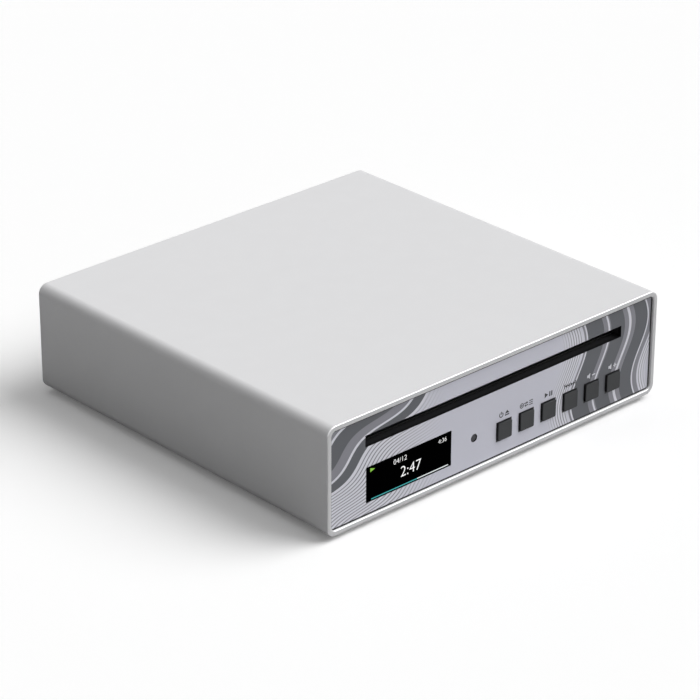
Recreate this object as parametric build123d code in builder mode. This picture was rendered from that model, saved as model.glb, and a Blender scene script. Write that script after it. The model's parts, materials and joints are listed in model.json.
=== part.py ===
"""Slot-loading compact-disc player: an extruded sleeve closed by a front panel and a rear
panel, with a roller-fed disc drive, boards, keys and connectors inside.

Units are millimetres. +X is to the right as seen from the front, +Y runs to the rear and +Z is up.
The origin lies under the middle of the footprint, jacks included, on the plane that the feet rest on.

Most places are given as v and h: v is the distance behind the sleeve's front rim, and h the height
above the sleeve's underside.
"""
import os
from math import atan2, cos, degrees, hypot, pi, radians, sin

from build123d import *

# ---------------------------------------------------------------- housing
WIDTH = 168.0
DEPTH = 160.0
HEIGHT = 43.0
WALL = 2.0
CORNER_RADIUS = 4.0
RIM_CHAMFER = 0.3
PORT_SIZE = 6.4            # square screw port in each inner corner of the sleeve
PORT_BITE = 0.5            # how far a port runs into the wall that carries it
FIT_GAP = 0.35             # round a panel in the sleeve's mouth
RUNNING = 0.05             # radial clearance of a shaft in its bore
LOOSE = 0.3                # between a moving piece and what it passes
TOUCH = 0.1                # between a moving piece and the stop that it rests at

# ---------------------------------------------------------------- feet and fasteners
FOOT_HEIGHT = 2.0
FOOT_RADIUS = 6.0
FOOT_INSET = 16.0
FOOT_POCKET_DEPTH = 1.3
FOOT_CHAMFER = 0.4
FOOT_SCREW_RADIUS = 1.5
FOOT_SCREW_LENGTH = 4.5
FOOT_HEAD_RADIUS = 2.7
FOOT_HEAD_HEIGHT = 1.0
BRACKET_HOLE_RADIUS = 1.65  # tapping drill of an M4 thread
BRACKET_SPACING = 75.0
SCREW_RADIUS = 1.25
SCREW_LENGTH = 8.0
SCREW_HEAD_RADIUS = 2.2
SCREW_HEAD_HEIGHT = 1.5
BOARD_SCREW_RADIUS = 1.0
BOARD_SCREW_LENGTH = 4.0
BOARD_SCREW_HEAD_RADIUS = 1.9
BOARD_SCREW_HEAD_HEIGHT = 1.2
DRIVE_TOOL = 1.0           # radius of the driver recess in a screw's head
DRIVE_TOOL_DEPTH = 0.7

# ---------------------------------------------------------------- front
PANEL_RECESS = 0.9
PANEL_THICKNESS = 1.5
FRAME_THICKNESS = 3.0
SLOT_SIDE = 16.35          # from the panel's end to the slot's
SLOT_HEIGHT = 4.6
SLOT_H = 31.35             # height of the disc plane
FRAME_SLOT_EXTRA = 0.6
FELT_GAP = 4.3
FELT_WIDTH = 3.0
FELT_THICKNESS = 0.8
WINDOW_WIDTH = 41.8
WINDOW_HEIGHT = 14.1
WINDOW_X = -44.0
WINDOW_H = 13.9
WINDOW_SINK = 0.2          # the lens lies this far behind the panel's face
WINDOW_CORNER = 0.3
LENS_GAP = 0.1
LENS_FLANGE = 1.7
LENS_FLANGE_THICKNESS = 1.0
SCREEN_THICKNESS = 3.9
EYE_RADIUS = 1.5
EYE_X = -11.6
EYE_H = 13.8
KEY_SIZE = 7.0
KEY_CORNER = 0.5
KEY_GAP = 0.2
KEY_PROUD = 0.8
KEY_EDGE = 0.25
KEY_TRAVEL = 0.5
KEY_FIRST_X = 3.7
KEY_PITCH = 11.55
KEY_H = 11.9
KEY_FLANGE = 0.7           # how far the flange reaches past the cap
KEY_FLANGE_THICKNESS = 0.8
KEY_POST_RADIUS = 1.4
KEY_POST_LENGTH = 2.0
KEY_NAMES = ("power", "source", "play", "skip", "volume_down", "volume_up")
SWITCH_SIZE = 6.0
SWITCH_HEIGHT = 3.2
SWITCH_WELL_GAP = 0.3
SWITCH_SKIN = 1.0          # floor under the well
BOARD_THICKNESS = 1.6
KEY_BOARD_GAP = 0.6        # from the board's end to a screw port
BOSS_RADIUS = 2.0
BOSS_GAP = 0.25            # from the display to a boss above or below it
BOSS_INSET = 2.9

# ---------------------------------------------------------------- rear
REAR_RECESS = 0.5
REAR_PANEL_THICKNESS = 2.0
JACK_PROUD = 9.0           # beyond the sleeve's rear rim
JACK_RADIUS = 4.15
JACK_WALL = 0.9
JACK_H = 14.0
JACK_HOLE_GAP = 0.35
JACK_PIN_BORE = 1.6
JACK_EDGE = 0.3
JACK_INSULATOR_SINK = 0.6
JACK_TAIL = 8.0
JACK_COLLAR = 0.5          # the barrel is thicker by this up to the panel's face
JACK_SIDE = 14.0           # from the board's right end to the first jack
JACK_SPACING = 16.0
COAX_SPACING = 18.0
JACK_BLOCK_DEPTH = 11.0
JACK_BLOCK_MARGIN = 3.0
OPTICAL_SPACING = 20.0
OPTICAL_CAVITY_WIDTH = 9.8
OPTICAL_CAVITY_HEIGHT = 9.6
OPTICAL_DEPTH = 13.0
OPTICAL_WALL = 1.8
SHUTTER_THICKNESS = 0.8
SHUTTER_PIN_RADIUS = 0.6
SHUTTER_PIN_DROP = 1.2     # from the cavity's ceiling down to the hinge line
SHUTTER_SINK = 1.2         # hinge line's distance inside the socket's mouth
SHUTTER_PIN_LENGTH = 0.9   # of a pin inside its side wall
USB_SIDE = 16.0            # from the board's left end
USB_WIDTH = 9.0
USB_HEIGHT = 3.3
USB_WALL = 0.3
USB_DEPTH = 8.0
USB_TONGUE_WIDTH = 6.7
USB_TONGUE_THICKNESS = 0.7
USB_TONGUE_SINK = 0.8
USB_BACK = 1.0
USB_FLAT = 0.05            # short straight left in the middle of each round end
USB_GAP = 0.3

# ---------------------------------------------------------------- main board
MAIN_BOARD_H = 6.0
BOARD_POST_GAP = 3.2       # from the board's end to the drive's posts
MAIN_BOARD_FRONT = 62.0
BOARD_EDGE_GAP = 1.0
STANDOFF_RADIUS = 2.6
STANDOFF_INSET = 4.0
CHIP_HEIGHT = 1.4
RIBBON_WIDTH = 14.0
RIBBON_THICKNESS = 0.3
SOCKET_HEIGHT = 1.8
RIBBON_BEND = 3.0
RIBBON_SIDE_GAP = 1.0
SOCKET_WIDTH = 17.0
SOCKET_DEPTH = 4.0
FRONT_SOCKET_V = 66.0
REAR_SOCKET_V = 147.0
SOCKET_GAP = 1.0           # from the rear ribbon's socket to a screw head
MAIN_CHIPS = (             # x, v, width, depth
    (-34.0, 84.0, 14.0, 14.0),
    (8.0, 92.0, 20.0, 10.0),
    (40.0, 84.0, 9.0, 12.0),
    (-8.0, 122.0, 10.0, 10.0),
    (34.0, 126.0, 14.0, 9.0),
)
SERVO_BOARD_REAR = 138.0
SERVO_BOARD_DEPTH = 26.0
SERVO_BOARD_WIDTH = 84.0
SERVO_STANDOFF = 2.0
SERVO_BOSS_RADIUS = 2.0
SERVO_BOSS_INSET = 3.0
SERVO_CHIPS = (
    (10.0, 125.0, 12.0, 12.0),
    (-12.0, 122.0, 8.0, 8.0),
)
RIBBON_NOTCH = 3.0

# ---------------------------------------------------------------- disc drive
DISC_SIDE_ROOM = 7.0       # from a disc's edge to the drive's wall
PATH_HEIGHT = 4.2          # clear height of the disc's way
SHEET = 1.0
DRIVE_SIDE_GAP = 14.0      # from the drive's wall to the sleeve's
DRIVE_FRONT = 14.0
DRIVE_REAR = 143.0
DRIVE_FLOOR_H = 11.0
DRIVE_LIP_H = 20.0         # top of the low front wall
COVER_GAP = 0.85           # from the disc's way up to the cover
SPINDLE_V = 78.0
EAR_WIDTH = 10.0
EAR_REACH = 8.0
EAR_FRONT_V = 32.0
EAR_REAR_V = 132.0
POST_RADIUS = 2.8
DRIVE_SCREW_LENGTH = 6.5
DAMPER_HEIGHT = 2.5
DAMPER_RADIUS = 3.4

ROLLER_V = 20.0
ROLLER_RADIUS = 3.5
ROLLER_WAIST = 0.5         # the roller thins by this towards the middle
ROLLER_END = 1.0           # of the roller past a disc's edge at each end
ROLLER_RISE = 1.65         # how far it stands into the disc's way at rest
ROLLER_SHAFT_RADIUS = 1.5
NOTCH_BEFORE = 3.7         # the shaft's notch, from the shaft at rest
NOTCH_BEHIND = 2.3
NOTCH_BELOW = 4.9
NOTCH_ABOVE = 2.5
ARM_THICKNESS = 1.2
ARM_PIVOT_V = 34.0
ARM_PIVOT_H = 19.5
ARM_EYE_RADIUS = 3.0
ARM_STUD_RADIUS = 1.5
ARM_BAR_V = 29.0
ARM_BAR_H = 19.2
ARM_BAR_HEIGHT = 5.0
MODULE = 0.5
ADDENDUM = 0.85            # of a tooth beyond the pitch circle, in modules
DEDENDUM = 1.25
TIP_SHARE = 0.10           # half a tooth's width at its tip, as a share of the pitch
ROOT_SHARE = 0.29
ROLLER_TEETH = 14
IDLER_TEETH = 12
GEAR_WIDTH = 2.6
GEAR_STAND_OFF = 1.2       # between the drive's wall and the gears
IDLER_STUB_RADIUS = 1.0
IDLER_SHOULDER_RADIUS = 1.8
PULLEY_RADIUS = 3.0
PULLEY_WIDTH = 1.8
PULLEY_FLANGE = 0.8
PULLEY_FLANGE_THICKNESS = 0.5
BELT_SIZE = 1.0
MOTOR_V = 45.0
MOTOR_H = 19.0
MOTOR_RADIUS = 6.0
MOTOR_LENGTH = 20.0
MOTOR_PULLEY_RADIUS = 1.8
MOTOR_SHAFT_RADIUS = 1.0
MOTOR_SHAFT_SEAT = 8.0
MOTOR_ROUND = 0.8
GUIDE_SIDE_GAP = 1.3       # between a disc's edge and a guide rail
GUIDE_LOW_H = 30.5
GUIDE_BAR_V = (16.5, 26.5)
GUIDE_LAP = 0.5
GUIDE_REAR_V = 120.0

LIFT = 4.0                 # rise of the traverse from loading to playing
SLIDER_TRAVEL = 12.0
TRAVERSE_H = 20.0
TRAVERSE_SHEET = 1.2
TRAVERSE_FRONT_V = 52.0
TRAVERSE_REAR_V = 106.0
TRAVERSE_SIDE_GAP = 3.0    # from the frame's flange to the drive's wall
TRAVERSE_FLANGE_HEIGHT = 4.4
LIFT_PIN_RADIUS = 1.25
LIFT_PIN_V = (66.0, 100.0)
SLIDER_THICKNESS = 1.2
SLIDER_STUD_V = (74.0, 90.0)
SLIDER_STUD_H = 16.9
SLIDER_STUD_RADIUS = 1.5
SLIDER_LOW_H = 14.4
SLIDER_HIGH_H = 27.6
SLIDER_END_MARGIN = 4.0
STUD_CAP = 0.8

SPINDLE_MOTOR_RADIUS = 10.0
SPINDLE_MOTOR_HEIGHT = 6.0
SPINDLE_BOSS_RADIUS = 5.0
SPINDLE_SHAFT_RADIUS = 1.0
SPINDLE_BOSS_HEIGHT = 2.2
SPINDLE_WELL_DEPTH = 5.0   # of the shaft's bore below the frame
PLATTER_NECK_RADIUS = 4.0
PLATTER_H = 26.7
PLATTER_RADIUS = 14.5
PLATTER_THICKNESS = 1.5
HUB_RADIUS = 7.3
HUB_HEIGHT = 2.2
HUB_CHAMFER = 0.8

ROD_RADIUS = 1.5
ROD_V = (64.0, 92.0)
ROD_H = 22.9
ROD_BLOCK_HIGH = 1.9       # of a rod block above the rod's axis
ROD_BLOCK_HALF = 2.4
LEFT_BLOCK_THICKNESS = 1.5
RIGHT_BLOCK_THICKNESS = 3.0
SLED_ARM_HALF = 4.0
LENS_ROUND = 0.5
SLED_INNER_X = -24.0       # of the lens, at the innermost track
SLED_LEFT = 5.0
SLED_RIGHT = 11.0
SLED_LOW_H = 16.0
SLED_CROWN = 2.1           # of the sled above the rods' axes
SLED_ROD_MARGIN = 3.0      # of the sled past the rods' axes, front and rear
SLED_ARM_DROP = 1.4        # of the sled's arm below the screw's axis
LENS_RADIUS = 2.2
LENS_WELL_GAP = 0.4
LENS_HEIGHT = 1.5
LENS_RISE = 0.6
LENS_TRAVEL = 0.4
SCREW_V = 100.5
SCREW_SPINDLE_RADIUS = 1.25
SLED_MOTOR_RADIUS = 3.2
SLED_MOTOR_LENGTH = 14.0
MOTOR_PLATE_X = (-11.0, -9.5)
SCREW_SEAT = 3.0

CLAMP_ARM_H = 37.0
CLAMP_ARM_SHEET = 1.0
CLAMP_PIVOT_V = 134.0
CLAMP_ARM_WIDTH = 22.0
CLAMP_PIN_RADIUS = 1.0
CLAMP_EAR_THICKNESS = 1.2
CLAMP_EAR_RADIUS = 1.9
CLAMP_EYE_RADIUS = 1.7
CLAMPER_RADIUS = 14.0
CLAMPER_THICKNESS = 2.0
CLAMPER_RECESS_RADIUS = 9.0
CLAMPER_RECESS_DEPTH = 1.5
CLAMPER_NECK_RADIUS = 4.0
CLAMPER_CAP_RADIUS = 6.5
CLAMPER_CAP_THICKNESS = 1.0

# ---------------------------------------------------------------- worked-out places
FRONT_Y = -(DEPTH + JACK_PROUD) / 2
INNER_WIDTH = WIDTH - 2 * WALL
INNER_HEIGHT = HEIGHT - 2 * WALL
INNER_RADIUS = CORNER_RADIUS - WALL
PANEL_WIDTH = INNER_WIDTH - 2 * FIT_GAP
PANEL_HEIGHT = INNER_HEIGHT - 2 * FIT_GAP
PANEL_RADIUS = INNER_RADIUS - FIT_GAP
SLOT_WIDTH = PANEL_WIDTH - 2 * SLOT_SIDE
PORT_X = INNER_WIDTH / 2 - PORT_SIZE / 2
PORT_LOW_H = WALL + PORT_SIZE / 2
PORT_HIGH_H = HEIGHT - WALL - PORT_SIZE / 2
PANEL_BACK = PANEL_RECESS + PANEL_THICKNESS
FRAME_BACK = PANEL_BACK + FRAME_THICKNESS
REAR_FACE = DEPTH - REAR_RECESS
REAR_INSIDE = REAR_FACE - REAR_PANEL_THICKNESS
KEY_FACE = PANEL_RECESS - KEY_PROUD
KEY_FLANGE_FRONT = FRAME_BACK + TOUCH
KEY_FLANGE_BACK = KEY_FLANGE_FRONT + KEY_FLANGE_THICKNESS
KEY_POST_TIP = KEY_FLANGE_BACK + KEY_POST_LENGTH
SWITCH_FRONT = KEY_FLANGE_BACK + KEY_TRAVEL + LOOSE
SWITCH_WELL_BOTTOM = KEY_POST_TIP + KEY_TRAVEL + TOUCH
KEY_BOARD_FRONT = max(SWITCH_FRONT + SWITCH_HEIGHT, SWITCH_WELL_BOTTOM + SWITCH_SKIN)
KEY_BOARD_BACK = KEY_BOARD_FRONT + BOARD_THICKNESS
KEY_BOARD_WIDTH = INNER_WIDTH - 2 * (PORT_SIZE + KEY_BOARD_GAP)
BOSS_LOW_H = WINDOW_H - WINDOW_HEIGHT / 2 - BOSS_GAP - BOSS_RADIUS
BOSS_HIGH_H = WINDOW_H + WINDOW_HEIGHT / 2 + BOSS_GAP + BOSS_RADIUS
KEY_BOARD_LOW = BOSS_LOW_H - BOSS_RADIUS
KEY_BOARD_HIGH = BOSS_HIGH_H + BOSS_RADIUS
MAIN_BOARD_TOP = MAIN_BOARD_H + BOARD_THICKNESS
MAIN_BOARD_REAR = REAR_INSIDE - BOARD_EDGE_GAP
DRIVE_WIDTH = INNER_WIDTH - 2 * DRIVE_SIDE_GAP
DRIVE_HALF = DRIVE_WIDTH / 2
DRIVE_INSIDE = DRIVE_HALF - SHEET
DISC_RADIUS = DRIVE_INSIDE - DISC_SIDE_ROOM
PATH_LOW_H = SLOT_H - PATH_HEIGHT / 2
PATH_HIGH_H = SLOT_H + PATH_HEIGHT / 2
COVER_H = PATH_HIGH_H + COVER_GAP
POST_X = DRIVE_HALF + EAR_REACH / 2
MAIN_BOARD_WIDTH = 2 * (POST_X - POST_RADIUS - BOARD_POST_GAP)
ROLLER_H = PATH_LOW_H + ROLLER_RISE - ROLLER_RADIUS
ROLLER_HALF = DISC_RADIUS + ROLLER_END
ARM_OUTSIDE = DRIVE_INSIDE - LOOSE
ARM_INSIDE = ARM_OUTSIDE - ARM_THICKNESS
GEAR_X = DRIVE_HALF + GEAR_STAND_OFF
PULLEY_X = GEAR_X + GEAR_WIDTH + LOOSE
BELT_X = PULLEY_X + PULLEY_FLANGE_THICKNESS + (PULLEY_WIDTH - BELT_SIZE) / 2
PULLEY_END = PULLEY_X + PULLEY_WIDTH + 2 * PULLEY_FLANGE_THICKNESS
GEAR_DISTANCE = MODULE * (ROLLER_TEETH + IDLER_TEETH) / 2
# The idler stands where the roller's gear backs straight out of it as the arm swings down.
MESH_ANGLE = degrees(atan2(ARM_PIVOT_V - ROLLER_V, ROLLER_H - ARM_PIVOT_H))
IDLER_V = ROLLER_V + GEAR_DISTANCE * cos(radians(MESH_ANGLE))
IDLER_H = ROLLER_H + GEAR_DISTANCE * sin(radians(MESH_ANGLE))
TRAVERSE_HALF = DRIVE_INSIDE - TRAVERSE_SIDE_GAP
TRAVERSE_TOP = TRAVERSE_H + TRAVERSE_SHEET
LIFT_PIN_H = TRAVERSE_H + TRAVERSE_SHEET / 2
LIFT_PIN_END = DRIVE_HALF + LOOSE + SLIDER_THICKNESS + LOOSE
CAM_ANGLE = -degrees(atan2(LIFT, SLIDER_TRAVEL))
SCREW_H = ROD_H
SLED_FRONT_V = ROD_V[0] - SLED_ROD_MARGIN
SLED_REAR_V = ROD_V[1] + SLED_ROD_MARGIN
SLED_HIGH_H = ROD_H + SLED_CROWN
SLED_ARM_H = SCREW_H - SLED_ARM_DROP
ROD_BLOCK_LOW = min(TRAVERSE_H, ROD_H - ROD_BLOCK_HALF)
CLAMPER_H = PATH_HIGH_H + LOOSE
JACK_END = DEPTH + JACK_PROUD
JACK_LEFT_X = MAIN_BOARD_WIDTH / 2 - JACK_SIDE
JACK_X = {
    "rca_left": JACK_LEFT_X,
    "rca_right": JACK_LEFT_X - JACK_SPACING,
    "coax": JACK_LEFT_X - JACK_SPACING - COAX_SPACING,
}
OPTICAL_X = JACK_X["coax"] - OPTICAL_SPACING
REAR_RIBBON_X = (SOCKET_WIDTH / 2 + SOCKET_GAP + BOARD_SCREW_HEAD_RADIUS
                 - (SERVO_BOARD_WIDTH / 2 - SERVO_BOSS_INSET))
USB_X = -(MAIN_BOARD_WIDTH / 2 - USB_SIDE)
OPTICAL_WIDTH = OPTICAL_CAVITY_WIDTH + 2 * OPTICAL_WALL
OPTICAL_HEIGHT = OPTICAL_CAVITY_HEIGHT + 2 * OPTICAL_WALL
OPTICAL_H = MAIN_BOARD_TOP + OPTICAL_HEIGHT / 2
OPTICAL_FLOOR = MAIN_BOARD_TOP + OPTICAL_WALL
OPTICAL_CEILING = OPTICAL_FLOOR + OPTICAL_CAVITY_HEIGHT
OPTICAL_BACK = REAR_FACE - OPTICAL_DEPTH + OPTICAL_WALL
SHUTTER_V = REAR_FACE - SHUTTER_SINK
SHUTTER_H = OPTICAL_CEILING - SHUTTER_PIN_DROP
SHUTTER_PIN_REACH = OPTICAL_CAVITY_WIDTH / 2 + SHUTTER_PIN_LENGTH
USB_H = MAIN_BOARD_TOP + USB_HEIGHT / 2
FRONT_RIBBON_H = MAIN_BOARD_TOP + SOCKET_HEIGHT / 2
DRIVE_FLOOR_TOP = DRIVE_FLOOR_H + SHEET
SERVO_BOARD_H = DRIVE_FLOOR_TOP + SERVO_STANDOFF
SERVO_BOARD_TOP = SERVO_BOARD_H + BOARD_THICKNESS
REAR_RIBBON_H = SERVO_BOARD_TOP + SOCKET_HEIGHT / 2
EAR_PLACES = [(x, v) for x in (-POST_X, POST_X) for v in (EAR_FRONT_V, EAR_REAR_V)]
SERVO_BOSS_PLACES = [
    (x, v)
    for x in (-(SERVO_BOARD_WIDTH / 2 - SERVO_BOSS_INSET), SERVO_BOARD_WIDTH / 2 - SERVO_BOSS_INSET)
    for v in (SERVO_BOARD_REAR - SERVO_BOARD_DEPTH + SERVO_BOSS_INSET,
              SERVO_BOARD_REAR - SERVO_BOSS_INSET)
]
SHAFT_NOTCH_V = (ROLLER_V - NOTCH_BEFORE, ROLLER_V + NOTCH_BEHIND)
SHAFT_NOTCH_H = (ROLLER_H - NOTCH_BELOW, ROLLER_H + NOTCH_ABOVE)
SPINDLE_BOSS_TOP = TRAVERSE_H + SPINDLE_BOSS_HEIGHT
SPINDLE_WELL_H = TRAVERSE_H - SPINDLE_WELL_DEPTH
LEFT_BLOCK_X = (-TRAVERSE_HALF, -TRAVERSE_HALF + LEFT_BLOCK_THICKNESS)
RIGHT_BLOCK_X = (
    SLED_INNER_X + SLED_RIGHT + 2 * LOOSE,
    SLED_INNER_X + SLED_RIGHT + 2 * LOOSE + RIGHT_BLOCK_THICKNESS,
)
SLED_MOTOR_END = MOTOR_PLATE_X[1] + SLED_MOTOR_LENGTH
LENS_LOW_H = SLED_HIGH_H + LENS_RISE - LENS_HEIGHT
CLAMP_PIVOT_H = CLAMP_ARM_H + CLAMP_ARM_SHEET / 2
CLAMPER_CAP_H = CLAMP_ARM_H + CLAMP_ARM_SHEET + TOUCH
KEY_X = [KEY_FIRST_X + i * KEY_PITCH for i in range(len(KEY_NAMES))]
STANDOFF_PLACES = [
    (x, v)
    for x in (-(MAIN_BOARD_WIDTH / 2 - STANDOFF_INSET), MAIN_BOARD_WIDTH / 2 - STANDOFF_INSET)
    for v in (MAIN_BOARD_FRONT + STANDOFF_INSET, MAIN_BOARD_REAR - STANDOFF_INSET)
]
KEY_BOSS_PLACES = [
    (x, h)
    for x in (-(KEY_BOARD_WIDTH / 2 - BOSS_INSET), KEY_BOARD_WIDTH / 2 - BOSS_INSET)
    for h in (BOSS_LOW_H, BOSS_HIGH_H)
]
FLANGE_WIDTH = WINDOW_WIDTH + 2 * LENS_FLANGE
FLANGE_HEIGHT = WINDOW_HEIGHT + 2 * LENS_FLANGE
EYE_FLANGE_RADIUS = EYE_RADIUS + LENS_FLANGE / 2
LENS_BACK = PANEL_BACK + LENS_FLANGE_THICKNESS
SCREEN_BACK = LENS_BACK + SCREEN_THICKNESS
FELT_LENGTH = SLOT_WIDTH + 2 * FELT_WIDTH
FOOT_PLACES = [
    (x, y)
    for x in (-(WIDTH / 2 - FOOT_INSET), WIDTH / 2 - FOOT_INSET)
    for y in (FRONT_Y + FOOT_INSET, FRONT_Y + DEPTH - FOOT_INSET)
]

os.makedirs("parts", exist_ok=True)


def y_at(v):
    """Row coordinate of a distance v behind the front rim."""
    return FRONT_Y + v


def z_at(h):
    """Row coordinate of a height h above the sleeve's underside."""
    return FOOT_HEIGHT + h


def front_plane(v):
    """Plane across the depth, read from the front; a negative extrusion runs to the rear."""
    return Plane.XZ.offset(-y_at(v))


def side_plane(x):
    """Plane across the width, with +Y to its right and +Z up; an extrusion runs to +X."""
    return Plane.YZ.offset(x)


def level(h):
    """Horizontal plane at height h."""
    return Plane.XY.offset(z_at(h))


def span_box(x, v, h, mode=Mode.ADD):
    """Block between two x, two v and two h."""
    middle = (sum(x) / 2, y_at(sum(v) / 2), z_at(sum(h) / 2))
    with Locations(middle):
        Box(abs(x[1] - x[0]), abs(v[1] - v[0]), abs(h[1] - h[0]), mode=mode)


def rod_x(x, v, h, radius, mode=Mode.ADD):
    """Round bar along X, between two x."""
    with Locations((sum(x) / 2, y_at(v), z_at(h))):
        Cylinder(radius, abs(x[1] - x[0]), rotation=(0, 90, 0), mode=mode)


def rod_y(x, v, h, radius, mode=Mode.ADD):
    """Round bar along Y, between two v."""
    with Locations((x, y_at(sum(v) / 2), z_at(h))):
        Cylinder(radius, abs(v[1] - v[0]), rotation=(90, 0, 0), mode=mode)


def rod_z(x, v, h, radius, mode=Mode.ADD):
    """Round bar along Z, between two h."""
    with Locations((x, y_at(v), z_at(sum(h) / 2))):
        Cylinder(radius, abs(h[1] - h[0]), mode=mode)


def save(piece, name):
    """Labels a finished piece and writes its STEP file."""
    piece.part.label = name
    export_step(piece.part, f"parts/{name}.step")


def screw(x, y, seat, length, radius, head_radius, head_height):
    """Pan-head screw whose head rests on top of the height seat, shank down, with a driver recess."""
    with Locations((x, y, seat - length / 2)):
        Cylinder(radius, length)
    with Locations((x, y, seat + head_height / 2)):
        Cylinder(head_radius, head_height)
    with Locations((x, y, seat + head_height - DRIVE_TOOL_DEPTH / 2)):
        Cylinder(DRIVE_TOOL, DRIVE_TOOL_DEPTH, mode=Mode.SUBTRACT)


def gear_points(teeth, first_angle):
    """Corners of a gear's outline; one tooth is centred on first_angle, in degrees."""
    step = 360.0 / teeth
    pitch = MODULE * teeth / 2
    corners = []
    for i in range(teeth):
        middle = first_angle + i * step
        for share, radius in (
            (-ROOT_SHARE, pitch - DEDENDUM * MODULE),
            (-TIP_SHARE, pitch + ADDENDUM * MODULE),
            (TIP_SHARE, pitch + ADDENDUM * MODULE),
            (ROOT_SHARE, pitch - DEDENDUM * MODULE),
        ):
            angle = radians(middle + share * step)
            corners.append((radius * cos(angle), radius * sin(angle)))
    return corners


# ================================================================ sleeve
with BuildPart() as housing_sleeve:
    with BuildSketch(front_plane(0)):
        with Locations((0, z_at(HEIGHT / 2))):
            RectangleRounded(WIDTH, HEIGHT, CORNER_RADIUS)
            RectangleRounded(INNER_WIDTH, INNER_HEIGHT, INNER_RADIUS, mode=Mode.SUBTRACT)
    extrude(amount=-DEPTH)
    rims = housing_sleeve.faces().filter_by(Axis.Y)
    chamfer(rims.sort_by(Axis.Y)[0].edges(), RIM_CHAMFER)
    chamfer(housing_sleeve.faces().filter_by(Axis.Y).sort_by(Axis.Y)[-1].edges(), RIM_CHAMFER)
    with BuildSketch(front_plane(FRAME_BACK)):
        for side in (-1, 1):
            for h in (PORT_LOW_H, PORT_HIGH_H):
                with Locations((side * PORT_X, z_at(h))):
                    Rectangle(PORT_SIZE, PORT_SIZE)
        with Locations((0, z_at(HEIGHT / 2))):
            RectangleRounded(INNER_WIDTH + 2 * PORT_BITE, INNER_HEIGHT + 2 * PORT_BITE,
                             INNER_RADIUS + PORT_BITE, mode=Mode.INTERSECT)
    extrude(amount=-(REAR_INSIDE - FRAME_BACK))
    for side in (-1, 1):
        for h in (PORT_LOW_H, PORT_HIGH_H):
            rod_y(side * PORT_X, (FRAME_BACK, REAR_INSIDE), h, SCREW_RADIUS, Mode.SUBTRACT)
    for x, y in FOOT_PLACES:
        with Locations((x, y, z_at(WALL / 2))):
            Cylinder(FOOT_SCREW_RADIUS, WALL, mode=Mode.SUBTRACT)
    with Locations((0, FRONT_Y + DEPTH / 2, z_at(WALL / 2))):
        with GridLocations(BRACKET_SPACING, BRACKET_SPACING, 2, 2):
            Cylinder(BRACKET_HOLE_RADIUS, WALL, mode=Mode.SUBTRACT)
save(housing_sleeve, "housing_sleeve")

with BuildPart() as feet:
    for x, y in FOOT_PLACES:
        with Locations((x, y, FOOT_HEIGHT / 2)):
            Cylinder(FOOT_RADIUS, FOOT_HEIGHT)
    chamfer(feet.edges().filter_by(GeomType.CIRCLE).group_by(Axis.Z)[0], FOOT_CHAMFER)
    for x, y in FOOT_PLACES:
        with Locations((x, y, FOOT_POCKET_DEPTH / 2)):
            Cylinder(FOOT_HEAD_RADIUS + LOOSE, FOOT_POCKET_DEPTH, mode=Mode.SUBTRACT)
        with Locations((x, y, FOOT_HEIGHT / 2)):
            Cylinder(FOOT_SCREW_RADIUS, FOOT_HEIGHT, mode=Mode.SUBTRACT)
save(feet, "feet")

with BuildPart() as foot_screws:
    for x, y in FOOT_PLACES:
        with Locations((x, y, FOOT_POCKET_DEPTH + FOOT_SCREW_LENGTH / 2)):
            Cylinder(FOOT_SCREW_RADIUS, FOOT_SCREW_LENGTH)
        with Locations((x, y, FOOT_POCKET_DEPTH - FOOT_HEAD_HEIGHT / 2)):
            Cylinder(FOOT_HEAD_RADIUS, FOOT_HEAD_HEIGHT)
        with Locations((x, y, FOOT_POCKET_DEPTH - FOOT_HEAD_HEIGHT + DRIVE_TOOL_DEPTH / 2)):
            Cylinder(DRIVE_TOOL, DRIVE_TOOL_DEPTH, mode=Mode.SUBTRACT)
save(foot_screws, "foot_screws")

# ================================================================ front
with BuildPart() as front_panel:
    with BuildSketch(front_plane(PANEL_RECESS)):
        with Locations((0, z_at(HEIGHT / 2))):
            RectangleRounded(PANEL_WIDTH, PANEL_HEIGHT, PANEL_RADIUS)
        with Locations((0, z_at(SLOT_H))):
            Rectangle(SLOT_WIDTH, SLOT_HEIGHT, mode=Mode.SUBTRACT)
        with Locations((WINDOW_X, z_at(WINDOW_H))):
            RectangleRounded(WINDOW_WIDTH, WINDOW_HEIGHT, WINDOW_CORNER, mode=Mode.SUBTRACT)
        with Locations((EYE_X, z_at(EYE_H))):
            Circle(EYE_RADIUS + LENS_GAP, mode=Mode.SUBTRACT)
        for x in KEY_X:
            with Locations((x, z_at(KEY_H))):
                RectangleRounded(KEY_SIZE + 2 * KEY_GAP, KEY_SIZE + 2 * KEY_GAP,
                                 KEY_CORNER + KEY_GAP, mode=Mode.SUBTRACT)
    extrude(amount=-PANEL_THICKNESS)
save(front_panel, "front_panel")

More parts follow.
